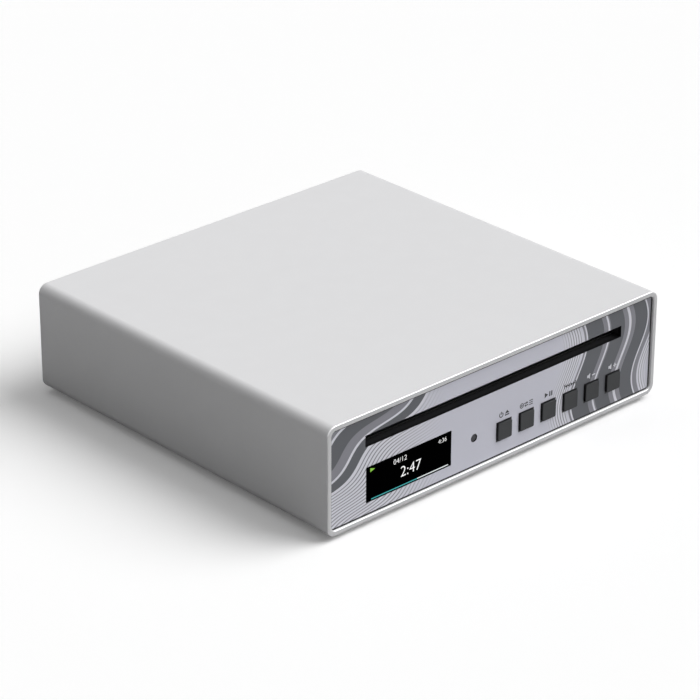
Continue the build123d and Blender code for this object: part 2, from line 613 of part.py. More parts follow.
with BuildPart() as front_frame:
    with BuildSketch(front_plane(PANEL_BACK)):
        with Locations((0, z_at(HEIGHT / 2))):
            RectangleRounded(PANEL_WIDTH, PANEL_HEIGHT, PANEL_RADIUS)
        with Locations((0, z_at(SLOT_H))):
            Rectangle(SLOT_WIDTH + FRAME_SLOT_EXTRA, SLOT_HEIGHT + FRAME_SLOT_EXTRA,
                      mode=Mode.SUBTRACT)
        with Locations((WINDOW_X, z_at(WINDOW_H))):
            Rectangle(WINDOW_WIDTH + 2 * LOOSE, WINDOW_HEIGHT + 2 * LOOSE, mode=Mode.SUBTRACT)
        with Locations((EYE_X, z_at(EYE_H))):
            Circle(EYE_RADIUS + LENS_GAP, mode=Mode.SUBTRACT)
        for x in KEY_X:
            with Locations((x, z_at(KEY_H))):
                RectangleRounded(KEY_SIZE + 2 * KEY_GAP, KEY_SIZE + 2 * KEY_GAP,
                                 KEY_CORNER + KEY_GAP, mode=Mode.SUBTRACT)
    extrude(amount=-FRAME_THICKNESS)
    with BuildSketch(front_plane(PANEL_BACK)):
        with Locations((WINDOW_X, z_at(WINDOW_H))):
            Rectangle(FLANGE_WIDTH + 2 * LENS_GAP, FLANGE_HEIGHT + 2 * LENS_GAP)
        with Locations((EYE_X, z_at(EYE_H))):
            Circle(EYE_FLANGE_RADIUS + LENS_GAP)
    extrude(amount=-LENS_FLANGE_THICKNESS, mode=Mode.SUBTRACT)
    for x, h in KEY_BOSS_PLACES:
        rod_y(x, (FRAME_BACK, KEY_BOARD_FRONT), h, BOSS_RADIUS)
        rod_y(x, (KEY_BOARD_BACK - BOARD_SCREW_LENGTH, KEY_BOARD_FRONT), h,
              BOARD_SCREW_RADIUS, Mode.SUBTRACT)
    for side in (-1, 1):
        for h in (PORT_LOW_H, PORT_HIGH_H):
            rod_y(side * PORT_X, (PANEL_BACK, FRAME_BACK), h, SCREW_RADIUS, Mode.SUBTRACT)
            rod_y(side * PORT_X, (PANEL_BACK, PANEL_BACK + SCREW_HEAD_HEIGHT), h,
                  SCREW_HEAD_RADIUS + LOOSE, Mode.SUBTRACT)
save(front_frame, "front_frame")


with BuildPart() as case_screws:
    for seat, inward in ((PANEL_BACK + SCREW_HEAD_HEIGHT, 1), (REAR_FACE, -1)):
        head = seat - inward * SCREW_HEAD_HEIGHT
        for x in (-PORT_X, PORT_X):
            for h in (PORT_LOW_H, PORT_HIGH_H):
                rod_y(x, (seat, seat + inward * SCREW_LENGTH), h, SCREW_RADIUS)
                rod_y(x, (seat, head), h, SCREW_HEAD_RADIUS)
                rod_y(x, (head, head + inward * DRIVE_TOOL_DEPTH), h, DRIVE_TOOL, Mode.SUBTRACT)
save(case_screws, "case_screws")

with BuildPart() as dust_felts:
    for side in (-1, 1):
        edge = SLOT_H + side * FELT_GAP / 2
        span_box((-FELT_LENGTH / 2, FELT_LENGTH / 2), (FRAME_BACK, FRAME_BACK + FELT_THICKNESS),
                 (edge, edge + side * FELT_WIDTH))
save(dust_felts, "dust_felts")

with BuildPart() as display_window:
    with BuildSketch(front_plane(PANEL_RECESS + WINDOW_SINK)):
        with Locations((WINDOW_X, z_at(WINDOW_H))):
            RectangleRounded(WINDOW_WIDTH - 2 * LENS_GAP, WINDOW_HEIGHT - 2 * LENS_GAP,
                             WINDOW_CORNER)
    extrude(amount=-(PANEL_THICKNESS - WINDOW_SINK))
    with BuildSketch(front_plane(PANEL_BACK)):
        with Locations((WINDOW_X, z_at(WINDOW_H))):
            Rectangle(FLANGE_WIDTH, FLANGE_HEIGHT)
    extrude(amount=-LENS_FLANGE_THICKNESS)
save(display_window, "display_window")

with BuildPart() as display_screen:
    span_box((WINDOW_X - WINDOW_WIDTH / 2, WINDOW_X + WINDOW_WIDTH / 2),
             (LENS_BACK, SCREEN_BACK),
             (WINDOW_H - WINDOW_HEIGHT / 2, WINDOW_H + WINDOW_HEIGHT / 2))
save(display_screen, "display_screen")

with BuildPart() as remote_eye:
    rod_y(EYE_X, (PANEL_RECESS + WINDOW_SINK, PANEL_BACK), EYE_H, EYE_RADIUS)
    rod_y(EYE_X, (PANEL_BACK, LENS_BACK), EYE_H, EYE_FLANGE_RADIUS)
    rod_y(EYE_X, (LENS_BACK, KEY_BOARD_FRONT), EYE_H, EYE_RADIUS)
save(remote_eye, "remote_eye")

for name, x in zip(KEY_NAMES, KEY_X):
    with BuildPart() as key:
        with BuildSketch(front_plane(KEY_FACE)):
            with Locations((x, z_at(KEY_H))):
                RectangleRounded(KEY_SIZE, KEY_SIZE, KEY_CORNER)
        extrude(amount=-(KEY_FLANGE_FRONT - KEY_FACE))
        chamfer(key.faces().sort_by(Axis.Y)[0].edges(), KEY_EDGE)
        span_box((x - KEY_SIZE / 2 - KEY_FLANGE, x + KEY_SIZE / 2 + KEY_FLANGE),
                 (KEY_FLANGE_FRONT, KEY_FLANGE_BACK),
                 (KEY_H - KEY_SIZE / 2 - KEY_FLANGE, KEY_H + KEY_SIZE / 2 + KEY_FLANGE))
        rod_y(x, (KEY_FLANGE_BACK, KEY_POST_TIP), KEY_H, KEY_POST_RADIUS)
    save(key, f"key_{name}")

with BuildPart() as key_switches:
    for x in KEY_X:
        span_box((x - SWITCH_SIZE / 2, x + SWITCH_SIZE / 2), (SWITCH_FRONT, KEY_BOARD_FRONT),
                 (KEY_H - SWITCH_SIZE / 2, KEY_H + SWITCH_SIZE / 2))
        rod_y(x, (SWITCH_FRONT, SWITCH_WELL_BOTTOM), KEY_H, KEY_POST_RADIUS + SWITCH_WELL_GAP,
              Mode.SUBTRACT)
save(key_switches, "key_switches")

with BuildPart() as key_board:
    span_box((-KEY_BOARD_WIDTH / 2, KEY_BOARD_WIDTH / 2), (KEY_BOARD_FRONT, KEY_BOARD_BACK),
             (KEY_BOARD_LOW, KEY_BOARD_HIGH))
    for x, h in KEY_BOSS_PLACES:
        rod_y(x, (KEY_BOARD_FRONT, KEY_BOARD_BACK), h, BOARD_SCREW_RADIUS, Mode.SUBTRACT)
save(key_board, "key_board")


# ================================================================ rear
with BuildPart() as rear_panel:
    with BuildSketch(front_plane(REAR_INSIDE)):
        with Locations((0, z_at(HEIGHT / 2))):
            RectangleRounded(PANEL_WIDTH, PANEL_HEIGHT, PANEL_RADIUS)
        for x in JACK_X.values():
            with Locations((x, z_at(JACK_H))):
                Circle(JACK_RADIUS + JACK_COLLAR + JACK_HOLE_GAP, mode=Mode.SUBTRACT)
        with Locations((OPTICAL_X, z_at(OPTICAL_H))):
            Rectangle(OPTICAL_WIDTH + 2 * JACK_HOLE_GAP, OPTICAL_HEIGHT + 2 * JACK_HOLE_GAP,
                      mode=Mode.SUBTRACT)
        with Locations((USB_X, z_at(USB_H))):
            RectangleRounded(USB_WIDTH + 2 * USB_GAP, USB_HEIGHT + 2 * USB_GAP,
                             USB_HEIGHT / 2 + USB_GAP - USB_FLAT, mode=Mode.SUBTRACT)
        for side in (-1, 1):
            for h in (PORT_LOW_H, PORT_HIGH_H):
                with Locations((side * PORT_X, z_at(h))):
                    Circle(SCREW_RADIUS, mode=Mode.SUBTRACT)
    extrude(amount=-REAR_PANEL_THICKNESS)
save(rear_panel, "rear_panel")

with BuildPart() as jack_block:
    span_box((min(JACK_X.values()) - JACK_RADIUS - JACK_BLOCK_MARGIN,
              max(JACK_X.values()) + JACK_RADIUS + JACK_BLOCK_MARGIN),
             (REAR_INSIDE - JACK_BLOCK_DEPTH, REAR_INSIDE),
             (MAIN_BOARD_TOP, JACK_H + JACK_RADIUS + JACK_BLOCK_MARGIN))
    for x in JACK_X.values():
        rod_y(x, (REAR_INSIDE - JACK_TAIL, REAR_INSIDE), JACK_H, JACK_RADIUS + JACK_COLLAR,
              Mode.SUBTRACT)
save(jack_block, "jack_block")

with BuildPart() as jack_shells:
    for x in JACK_X.values():
        rod_y(x, (REAR_INSIDE - JACK_TAIL, REAR_FACE), JACK_H, JACK_RADIUS + JACK_COLLAR)
        rod_y(x, (REAR_FACE, JACK_END), JACK_H, JACK_RADIUS)
        rod_y(x, (REAR_INSIDE - JACK_TAIL, JACK_END), JACK_H, JACK_RADIUS - JACK_WALL,
              Mode.SUBTRACT)
    chamfer(jack_shells.edges().filter_by(GeomType.CIRCLE).group_by(Axis.Y)[-1], JACK_EDGE)
save(jack_shells, "jack_shells")

for name, x in JACK_X.items():
    with BuildPart() as insulator:
        rod_y(x, (REAR_INSIDE - JACK_TAIL, JACK_END - JACK_INSULATOR_SINK), JACK_H,
              JACK_RADIUS - JACK_WALL)
        rod_y(x, (REAR_INSIDE - JACK_TAIL + SWITCH_SKIN, JACK_END), JACK_H, JACK_PIN_BORE,
              Mode.SUBTRACT)
    save(insulator, f"insulator_{name}")

with BuildPart() as optical_socket:
    span_box((OPTICAL_X - OPTICAL_WIDTH / 2, OPTICAL_X + OPTICAL_WIDTH / 2),
             (REAR_FACE - OPTICAL_DEPTH, REAR_FACE),
             (MAIN_BOARD_TOP, MAIN_BOARD_TOP + OPTICAL_HEIGHT))
    span_box((OPTICAL_X - OPTICAL_CAVITY_WIDTH / 2, OPTICAL_X + OPTICAL_CAVITY_WIDTH / 2),
             (OPTICAL_BACK, REAR_FACE), (OPTICAL_FLOOR, OPTICAL_CEILING), Mode.SUBTRACT)
    rod_x((OPTICAL_X - SHUTTER_PIN_REACH - LOOSE, OPTICAL_X + SHUTTER_PIN_REACH + LOOSE),
          SHUTTER_V, SHUTTER_H, SHUTTER_PIN_RADIUS + RUNNING, Mode.SUBTRACT)
save(optical_socket, "optical_socket")

with BuildPart() as optical_shutter:
    span_box((OPTICAL_X - OPTICAL_CAVITY_WIDTH / 2 + LOOSE,
              OPTICAL_X + OPTICAL_CAVITY_WIDTH / 2 - LOOSE),
             (SHUTTER_V - SHUTTER_THICKNESS / 2, SHUTTER_V + SHUTTER_THICKNESS / 2),
             (OPTICAL_FLOOR + LOOSE, OPTICAL_CEILING - LOOSE))
    rod_x((OPTICAL_X - SHUTTER_PIN_REACH, OPTICAL_X + SHUTTER_PIN_REACH), SHUTTER_V, SHUTTER_H,
          SHUTTER_PIN_RADIUS)
save(optical_shutter, "optical_shutter")

with BuildPart() as usb_socket:
    with BuildSketch(front_plane(REAR_FACE - USB_DEPTH)):
        with Locations((USB_X, z_at(USB_H))):
            RectangleRounded(USB_WIDTH, USB_HEIGHT, USB_HEIGHT / 2 - USB_FLAT)
            RectangleRounded(USB_WIDTH - 2 * USB_WALL, USB_HEIGHT - 2 * USB_WALL,
                             USB_HEIGHT / 2 - USB_WALL - USB_FLAT, mode=Mode.SUBTRACT)
    extrude(amount=-USB_DEPTH)
    with BuildSketch(front_plane(REAR_FACE - USB_DEPTH)):
        with Locations((USB_X, z_at(USB_H))):
            RectangleRounded(USB_WIDTH, USB_HEIGHT, USB_HEIGHT / 2 - USB_FLAT)
    extrude(amount=-USB_BACK)
save(usb_socket, "usb_socket")

with BuildPart() as usb_tongue:
    span_box((USB_X - USB_TONGUE_WIDTH / 2, USB_X + USB_TONGUE_WIDTH / 2),
             (REAR_FACE - USB_DEPTH + USB_BACK, REAR_FACE - USB_TONGUE_SINK),
             (USB_H - USB_TONGUE_THICKNESS / 2, USB_H + USB_TONGUE_THICKNESS / 2))
save(usb_tongue, "usb_tongue")

# ================================================================ main board
with BuildPart() as main_board:
    span_box((-MAIN_BOARD_WIDTH / 2, MAIN_BOARD_WIDTH / 2), (MAIN_BOARD_FRONT, MAIN_BOARD_REAR),
             (MAIN_BOARD_H, MAIN_BOARD_TOP))
    for x, v in STANDOFF_PLACES:
        rod_z(x, v, (MAIN_BOARD_H, MAIN_BOARD_TOP), BOARD_SCREW_RADIUS, Mode.SUBTRACT)
save(main_board, "main_board")

with BuildPart() as mounting_posts:
    for x, v in STANDOFF_PLACES:
        rod_z(x, v, (WALL, MAIN_BOARD_H), STANDOFF_RADIUS)
        rod_z(x, v, (MAIN_BOARD_TOP - BOARD_SCREW_LENGTH, MAIN_BOARD_H), BOARD_SCREW_RADIUS,
              Mode.SUBTRACT)
    for x, v in EAR_PLACES:
        rod_z(x, v, (WALL, DRIVE_FLOOR_H - DAMPER_HEIGHT), POST_RADIUS)
        rod_z(x, v, (DRIVE_FLOOR_TOP - DRIVE_SCREW_LENGTH, DRIVE_FLOOR_H - DAMPER_HEIGHT),
              BOARD_SCREW_RADIUS, Mode.SUBTRACT)
save(mounting_posts, "mounting_posts")

with BuildPart() as drive_dampers:
    for x, v in EAR_PLACES:
        rod_z(x, v, (DRIVE_FLOOR_H - DAMPER_HEIGHT, DRIVE_FLOOR_H), DAMPER_RADIUS)
        rod_z(x, v, (DRIVE_FLOOR_H - DAMPER_HEIGHT, DRIVE_FLOOR_H), BOARD_SCREW_RADIUS,
              Mode.SUBTRACT)
save(drive_dampers, "drive_dampers")

with BuildPart() as inner_screws:
    for x, v in STANDOFF_PLACES:
        screw(x, y_at(v), z_at(MAIN_BOARD_TOP), BOARD_SCREW_LENGTH, BOARD_SCREW_RADIUS,
              BOARD_SCREW_HEAD_RADIUS, BOARD_SCREW_HEAD_HEIGHT)
    for x, v in SERVO_BOSS_PLACES:
        screw(x, y_at(v), z_at(SERVO_BOARD_TOP), BOARD_SCREW_LENGTH, BOARD_SCREW_RADIUS,
              BOARD_SCREW_HEAD_RADIUS, BOARD_SCREW_HEAD_HEIGHT)
    for x, v in EAR_PLACES:
        screw(x, y_at(v), z_at(DRIVE_FLOOR_TOP), DRIVE_SCREW_LENGTH, BOARD_SCREW_RADIUS,
              BOARD_SCREW_HEAD_RADIUS, BOARD_SCREW_HEAD_HEIGHT)
    for x, h in KEY_BOSS_PLACES:
        head = KEY_BOARD_BACK + BOARD_SCREW_HEAD_HEIGHT
        rod_y(x, (KEY_BOARD_BACK - BOARD_SCREW_LENGTH, KEY_BOARD_BACK), h, BOARD_SCREW_RADIUS)
        rod_y(x, (KEY_BOARD_BACK, head), h, BOARD_SCREW_HEAD_RADIUS)
        rod_y(x, (head - DRIVE_TOOL_DEPTH, head), h, DRIVE_TOOL, Mode.SUBTRACT)
save(inner_screws, "inner_screws")

with BuildPart() as servo_board:
    span_box((-SERVO_BOARD_WIDTH / 2, SERVO_BOARD_WIDTH / 2),
             (SERVO_BOARD_REAR - SERVO_BOARD_DEPTH, SERVO_BOARD_REAR),
             (SERVO_BOARD_H, SERVO_BOARD_TOP))
    for x, v in SERVO_BOSS_PLACES:
        rod_z(x, v, (SERVO_BOARD_H, SERVO_BOARD_TOP), BOARD_SCREW_RADIUS, Mode.SUBTRACT)
save(servo_board, "servo_board")

with BuildPart() as board_chips:
    for h, chips in ((MAIN_BOARD_TOP, MAIN_CHIPS), (SERVO_BOARD_TOP, SERVO_CHIPS)):
        for x, v, width, depth in chips:
            span_box((x - width / 2, x + width / 2), (v - depth / 2, v + depth / 2),
                     (h, h + CHIP_HEIGHT))
save(board_chips, "board_chips")

with BuildPart() as board_sockets:
    for x, v in ((0, FRONT_SOCKET_V), (REAR_RIBBON_X, REAR_SOCKET_V)):
        span_box((x - SOCKET_WIDTH / 2, x + SOCKET_WIDTH / 2), (v, v + SOCKET_DEPTH),
                 (MAIN_BOARD_TOP, MAIN_BOARD_TOP + SOCKET_HEIGHT))
    span_box((-SOCKET_WIDTH / 2, SOCKET_WIDTH / 2),
             (KEY_BOARD_BACK, KEY_BOARD_BACK + SOCKET_HEIGHT),
             (FRONT_RIBBON_H - SOCKET_DEPTH / 2, FRONT_RIBBON_H + SOCKET_DEPTH / 2))
    span_box((REAR_RIBBON_X - SOCKET_WIDTH / 2, REAR_RIBBON_X + SOCKET_WIDTH / 2),
             (SERVO_BOARD_REAR - SOCKET_DEPTH, SERVO_BOARD_REAR),
             (SERVO_BOARD_TOP, SERVO_BOARD_TOP + SOCKET_HEIGHT))
    span_box((WINDOW_X - SOCKET_WIDTH / 2, WINDOW_X + SOCKET_WIDTH / 2),
             (SCREEN_BACK, KEY_BOARD_FRONT),
             (WINDOW_H - SOCKET_HEIGHT / 2, WINDOW_H + SOCKET_HEIGHT / 2))
save(board_sockets, "board_sockets")

with BuildPart() as ribbon_cables:
    span_box((-RIBBON_WIDTH / 2, RIBBON_WIDTH / 2),
             (KEY_BOARD_BACK + SOCKET_HEIGHT, FRONT_SOCKET_V),
             (FRONT_RIBBON_H - RIBBON_THICKNESS / 2, FRONT_RIBBON_H + RIBBON_THICKNESS / 2))
    with BuildSketch(side_plane(REAR_RIBBON_X - RIBBON_WIDTH / 2)):
        with BuildLine():
            FilletPolyline(
                (y_at(SERVO_BOARD_REAR), z_at(REAR_RIBBON_H)),
                (y_at(REAR_SOCKET_V + SOCKET_DEPTH / 2), z_at(REAR_RIBBON_H)),
                (y_at(REAR_SOCKET_V + SOCKET_DEPTH / 2), z_at(MAIN_BOARD_TOP + SOCKET_HEIGHT)),
                radius=RIBBON_BEND,
            )
        trace(line_width=RIBBON_THICKNESS)
    extrude(amount=RIBBON_WIDTH)
save(ribbon_cables, "ribbon_cables")

# ================================================================ disc drive: fixed pieces
with BuildPart() as drive_base:
    span_box((-DRIVE_HALF, DRIVE_HALF), (DRIVE_FRONT, DRIVE_REAR), (DRIVE_FLOOR_H, COVER_H))
    span_box((-DRIVE_INSIDE, DRIVE_INSIDE), (DRIVE_FRONT + SHEET, DRIVE_REAR - SHEET),
             (DRIVE_FLOOR_TOP, COVER_H), Mode.SUBTRACT)
    span_box((-DRIVE_INSIDE, DRIVE_INSIDE), (DRIVE_FRONT, DRIVE_FRONT + SHEET),
             (DRIVE_LIP_H, COVER_H), Mode.SUBTRACT)
    for x, v in EAR_PLACES:
        span_box((x - EAR_REACH / 2, x + EAR_REACH / 2), (v - EAR_WIDTH / 2, v + EAR_WIDTH / 2),
                 (DRIVE_FLOOR_H, DRIVE_FLOOR_TOP))
        rod_z(x, v, (DRIVE_FLOOR_H, DRIVE_FLOOR_TOP), BOARD_SCREW_RADIUS, Mode.SUBTRACT)
    for x, v in SERVO_BOSS_PLACES:
        rod_z(x, v, (DRIVE_FLOOR_TOP, SERVO_BOARD_H), SERVO_BOSS_RADIUS)
        rod_z(x, v, (SERVO_BOARD_TOP - BOARD_SCREW_LENGTH, SERVO_BOARD_H), BOARD_SCREW_RADIUS,
              Mode.SUBTRACT)
    for side in (-1, 1):
        inner = side * DRIVE_INSIDE
        outer = side * DRIVE_HALF
        rod_x((inner, side * ARM_INSIDE), ARM_PIVOT_V, ARM_PIVOT_H, ARM_STUD_RADIUS)
        for v in SLIDER_STUD_V:
            cap = side * (LIFT_PIN_END - DRIVE_HALF)
            rod_x((outer, outer + cap), v, SLIDER_STUD_H, SLIDER_STUD_RADIUS)
            rod_x((outer + cap, outer + cap + side * STUD_CAP), v, SLIDER_STUD_H,
                  SLIDER_STUD_RADIUS + STUD_CAP)
    for v in LIFT_PIN_V:
        with BuildSketch(side_plane(-DRIVE_HALF)):
            with Locations((y_at(v), z_at(LIFT_PIN_H + LIFT / 2))):
                SlotCenterToCenter(LIFT + 2 * TOUCH, 2 * (LIFT_PIN_RADIUS + TOUCH), rotation=90)
        extrude(amount=DRIVE_WIDTH, mode=Mode.SUBTRACT)
    span_box((DRIVE_INSIDE, DRIVE_HALF), SHAFT_NOTCH_V, SHAFT_NOTCH_H, Mode.SUBTRACT)
    rod_x((DRIVE_INSIDE, DRIVE_HALF), MOTOR_V, MOTOR_H, MOTOR_SHAFT_RADIUS + LOOSE, Mode.SUBTRACT)
    rod_x((DRIVE_HALF, PULLEY_END), IDLER_V, IDLER_H, IDLER_STUB_RADIUS)
    rod_x((DRIVE_HALF, GEAR_X - LOOSE), IDLER_V, IDLER_H, IDLER_SHOULDER_RADIUS)
    span_box((REAR_RIBBON_X - RIBBON_WIDTH / 2 - RIBBON_SIDE_GAP,
              REAR_RIBBON_X + RIBBON_WIDTH / 2 + RIBBON_SIDE_GAP),
             (DRIVE_REAR - SHEET, DRIVE_REAR),
             (REAR_RIBBON_H - RIBBON_NOTCH / 2, REAR_RIBBON_H + RIBBON_NOTCH / 2), Mode.SUBTRACT)
save(drive_base, "drive_base")

with BuildPart() as drive_cover:
    span_box((-DRIVE_HALF, DRIVE_HALF), (DRIVE_FRONT, DRIVE_REAR), (COVER_H, COVER_H + SHEET))
    rod_z(0, SPINDLE_V, (COVER_H, COVER_H + SHEET), CLAMPER_RADIUS + 2 * LOOSE, Mode.SUBTRACT)
    for side in (-1, 1):
        near = side * (CLAMP_ARM_WIDTH / 2 + LOOSE)
        far = near + side * CLAMP_EAR_THICKNESS
        span_box((near, far), (CLAMP_PIVOT_V - CLAMP_EAR_RADIUS, CLAMP_PIVOT_V + CLAMP_EAR_RADIUS),
                 (COVER_H + SHEET, CLAMP_PIVOT_H))
        rod_x((near, far), CLAMP_PIVOT_V, CLAMP_PIVOT_H, CLAMP_EAR_RADIUS)
        rod_x((near, far), CLAMP_PIVOT_V, CLAMP_PIVOT_H, CLAMP_PIN_RADIUS + RUNNING, Mode.SUBTRACT)
save(drive_cover, "drive_cover")

with BuildPart() as disc_guide:
    span_box((-DRIVE_INSIDE, DRIVE_INSIDE), GUIDE_BAR_V, (PATH_HIGH_H, COVER_H))
    for side in (-1, 1):
        span_box((side * (DISC_RADIUS + GUIDE_SIDE_GAP), side * DRIVE_INSIDE),
                 (GUIDE_BAR_V[1] - GUIDE_LAP, GUIDE_REAR_V), (GUIDE_LOW_H, COVER_H))
save(disc_guide, "disc_guide")

with BuildPart() as loading_motor:
    rod_x((DRIVE_INSIDE - MOTOR_LENGTH, DRIVE_INSIDE), MOTOR_V, MOTOR_H, MOTOR_RADIUS)
    fillet(loading_motor.edges().filter_by(GeomType.CIRCLE).sort_by(Axis.X)[0], MOTOR_ROUND)
    rod_x((DRIVE_INSIDE - MOTOR_SHAFT_SEAT, DRIVE_INSIDE), MOTOR_V, MOTOR_H,
          MOTOR_SHAFT_RADIUS + RUNNING, Mode.SUBTRACT)
save(loading_motor, "loading_motor")

with BuildPart() as drive_belt:
    for grow, mode in ((RUNNING + BELT_SIZE, Mode.ADD), (RUNNING, Mode.SUBTRACT)):
        with BuildSketch(side_plane(BELT_X)):
            with Locations((y_at(IDLER_V), z_at(IDLER_H))):
                Circle(PULLEY_RADIUS + grow)
            with Locations((y_at(MOTOR_V), z_at(MOTOR_H))):
                Circle(MOTOR_PULLEY_RADIUS + grow)
            make_hull()
        extrude(amount=BELT_SIZE, mode=mode)
save(drive_belt, "drive_belt")

# ================================================================ disc drive: loading
with BuildPart() as roller_arm:
    for x in (-ARM_OUTSIDE, ARM_INSIDE):
        with BuildSketch(side_plane(x)):
            with Locations((y_at(ARM_PIVOT_V), z_at(ARM_PIVOT_H)), (y_at(ROLLER_V), z_at(ROLLER_H))):
                Circle(ARM_EYE_RADIUS)
            make_hull()
        extrude(amount=ARM_THICKNESS)
    span_box((-ARM_INSIDE, ARM_INSIDE), (ARM_BAR_V, ARM_BAR_V + ARM_THICKNESS),
             (ARM_BAR_H, ARM_BAR_H + ARM_BAR_HEIGHT))
    rod_x((-ARM_OUTSIDE, ARM_OUTSIDE), ARM_PIVOT_V, ARM_PIVOT_H, ARM_STUD_RADIUS + RUNNING,
          Mode.SUBTRACT)
    rod_x((-ARM_OUTSIDE, ARM_OUTSIDE), ROLLER_V, ROLLER_H, ROLLER_SHAFT_RADIUS + RUNNING,
          Mode.SUBTRACT)
save(roller_arm, "roller_arm")

with BuildPart() as roller_shaft:
    rod_x((-ARM_OUTSIDE, GEAR_X + GEAR_WIDTH), ROLLER_V, ROLLER_H, ROLLER_SHAFT_RADIUS)
save(roller_shaft, "roller_shaft")

with BuildPart() as feed_roller:
    with BuildSketch(level(ROLLER_H)):
        with BuildLine():
            Polyline(
                (-ROLLER_HALF, y_at(ROLLER_V) + ROLLER_SHAFT_RADIUS),
                (ROLLER_HALF, y_at(ROLLER_V) + ROLLER_SHAFT_RADIUS),
                (ROLLER_HALF, y_at(ROLLER_V) + ROLLER_RADIUS),
                (0, y_at(ROLLER_V) + ROLLER_RADIUS - ROLLER_WAIST),
                (-ROLLER_HALF, y_at(ROLLER_V) + ROLLER_RADIUS),
                close=True,
            )
        make_face()
    revolve(axis=Axis((0, y_at(ROLLER_V), z_at(ROLLER_H)), (1, 0, 0)))
save(feed_roller, "feed_roller")

with BuildPart() as roller_gear:
    with BuildSketch(side_plane(GEAR_X)):
        with Locations((y_at(ROLLER_V), z_at(ROLLER_H))):
            Polygon(*gear_points(ROLLER_TEETH, MESH_ANGLE), align=None)
            Circle(ROLLER_SHAFT_RADIUS, mode=Mode.SUBTRACT)
    extrude(amount=GEAR_WIDTH)
save(roller_gear, "roller_gear")

with BuildPart() as idler_gear:
    with BuildSketch(side_plane(GEAR_X)):
        with Locations((y_at(IDLER_V), z_at(IDLER_H))):
            Polygon(*gear_points(IDLER_TEETH, MESH_ANGLE + 180 + 180 / IDLER_TEETH), align=None)
    extrude(amount=GEAR_WIDTH)
    rod_x((GEAR_X, PULLEY_END), IDLER_V, IDLER_H, PULLEY_RADIUS - PULLEY_FLANGE)
    rod_x((PULLEY_X, PULLEY_END), IDLER_V, IDLER_H, PULLEY_RADIUS)
    for x in (PULLEY_X, PULLEY_END - PULLEY_FLANGE_THICKNESS):
        rod_x((x, x + PULLEY_FLANGE_THICKNESS), IDLER_V, IDLER_H, PULLEY_RADIUS + PULLEY_FLANGE)
    rod_x((GEAR_X, PULLEY_END), IDLER_V, IDLER_H, IDLER_STUB_RADIUS + RUNNING, Mode.SUBTRACT)
save(idler_gear, "idler_gear")

with BuildPart() as motor_pulley:
    rod_x((DRIVE_INSIDE - MOTOR_SHAFT_SEAT, PULLEY_END), MOTOR_V, MOTOR_H, MOTOR_SHAFT_RADIUS)
    rod_x((PULLEY_X, PULLEY_END), MOTOR_V, MOTOR_H, MOTOR_PULLEY_RADIUS)
    for x in (PULLEY_X, PULLEY_END - PULLEY_FLANGE_THICKNESS):
        rod_x((x, x + PULLEY_FLANGE_THICKNESS), MOTOR_V, MOTOR_H,
              MOTOR_PULLEY_RADIUS + PULLEY_FLANGE)
save(motor_pulley, "motor_pulley")

# ================================================================ disc drive: traverse
with BuildPart() as traverse_frame:
    span_box((-TRAVERSE_HALF, TRAVERSE_HALF), (TRAVERSE_FRONT_V, TRAVERSE_REAR_V),
             (TRAVERSE_TOP - TRAVERSE_FLANGE_HEIGHT, TRAVERSE_TOP))
    span_box((-TRAVERSE_HALF + TRAVERSE_SHEET, TRAVERSE_HALF - TRAVERSE_SHEET),
             (TRAVERSE_FRONT_V, TRAVERSE_REAR_V),
             (TRAVERSE_TOP - TRAVERSE_FLANGE_HEIGHT, TRAVERSE_H), Mode.SUBTRACT)
    for v in ROD_V:
        for x in (LEFT_BLOCK_X, RIGHT_BLOCK_X):
            span_box(x, (v - ROD_BLOCK_HALF, v + ROD_BLOCK_HALF),
                     (ROD_BLOCK_LOW, ROD_H + ROD_BLOCK_HIGH))
    span_box(LEFT_BLOCK_X, (SCREW_V - ROD_BLOCK_HALF, SCREW_V + ROD_BLOCK_HALF),
             (ROD_BLOCK_LOW, ROD_H + ROD_BLOCK_HIGH))
    span_box(MOTOR_PLATE_X, (SCREW_V - SLED_MOTOR_RADIUS, SCREW_V + SLED_MOTOR_RADIUS),
             (TRAVERSE_H, SCREW_H + SLED_MOTOR_RADIUS))
    for side in (-1, 1):
        for v in LIFT_PIN_V:
            rod_x((side * TRAVERSE_HALF, side * LIFT_PIN_END), v, LIFT_PIN_H, LIFT_PIN_RADIUS)
    span_box((LEFT_BLOCK_X[1], RIGHT_BLOCK_X[0]), (SLED_FRONT_V - LOOSE, SLED_REAR_V + LOOSE),
             (TRAVERSE_H, TRAVERSE_TOP), Mode.SUBTRACT)
    span_box((MOTOR_PLATE_X[1], SLED_MOTOR_END + LOOSE),
             (SCREW_V - SLED_MOTOR_RADIUS - LOOSE, SCREW_V + SLED_MOTOR_RADIUS + LOOSE),
             (TRAVERSE_H, TRAVERSE_TOP), Mode.SUBTRACT)
    span_box((LEFT_BLOCK_X[1], MOTOR_PLATE_X[0]), (SLED_REAR_V, SCREW_V + SLED_ARM_HALF),
             (SLED_ARM_H - LOOSE, SCREW_H + SLED_ARM_HALF), Mode.SUBTRACT)
    rod_z(0, SPINDLE_V, (TRAVERSE_H, TRAVERSE_TOP), SPINDLE_BOSS_RADIUS, Mode.SUBTRACT)
    for v in ROD_V:
        rod_x((LEFT_BLOCK_X[0], RIGHT_BLOCK_X[1]), v, ROD_H, ROD_RADIUS, Mode.SUBTRACT)
    rod_x(LEFT_BLOCK_X, SCREW_V, SCREW_H, SCREW_SPINDLE_RADIUS + RUNNING, Mode.SUBTRACT)
    rod_x(MOTOR_PLATE_X, SCREW_V, SCREW_H, SCREW_SPINDLE_RADIUS + LOOSE, Mode.SUBTRACT)
save(traverse_frame, "traverse_frame")

with BuildPart() as guide_rods:
    for v in ROD_V:
        rod_x((LEFT_BLOCK_X[0], RIGHT_BLOCK_X[1]), v, ROD_H, ROD_RADIUS)
save(guide_rods, "guide_rods")

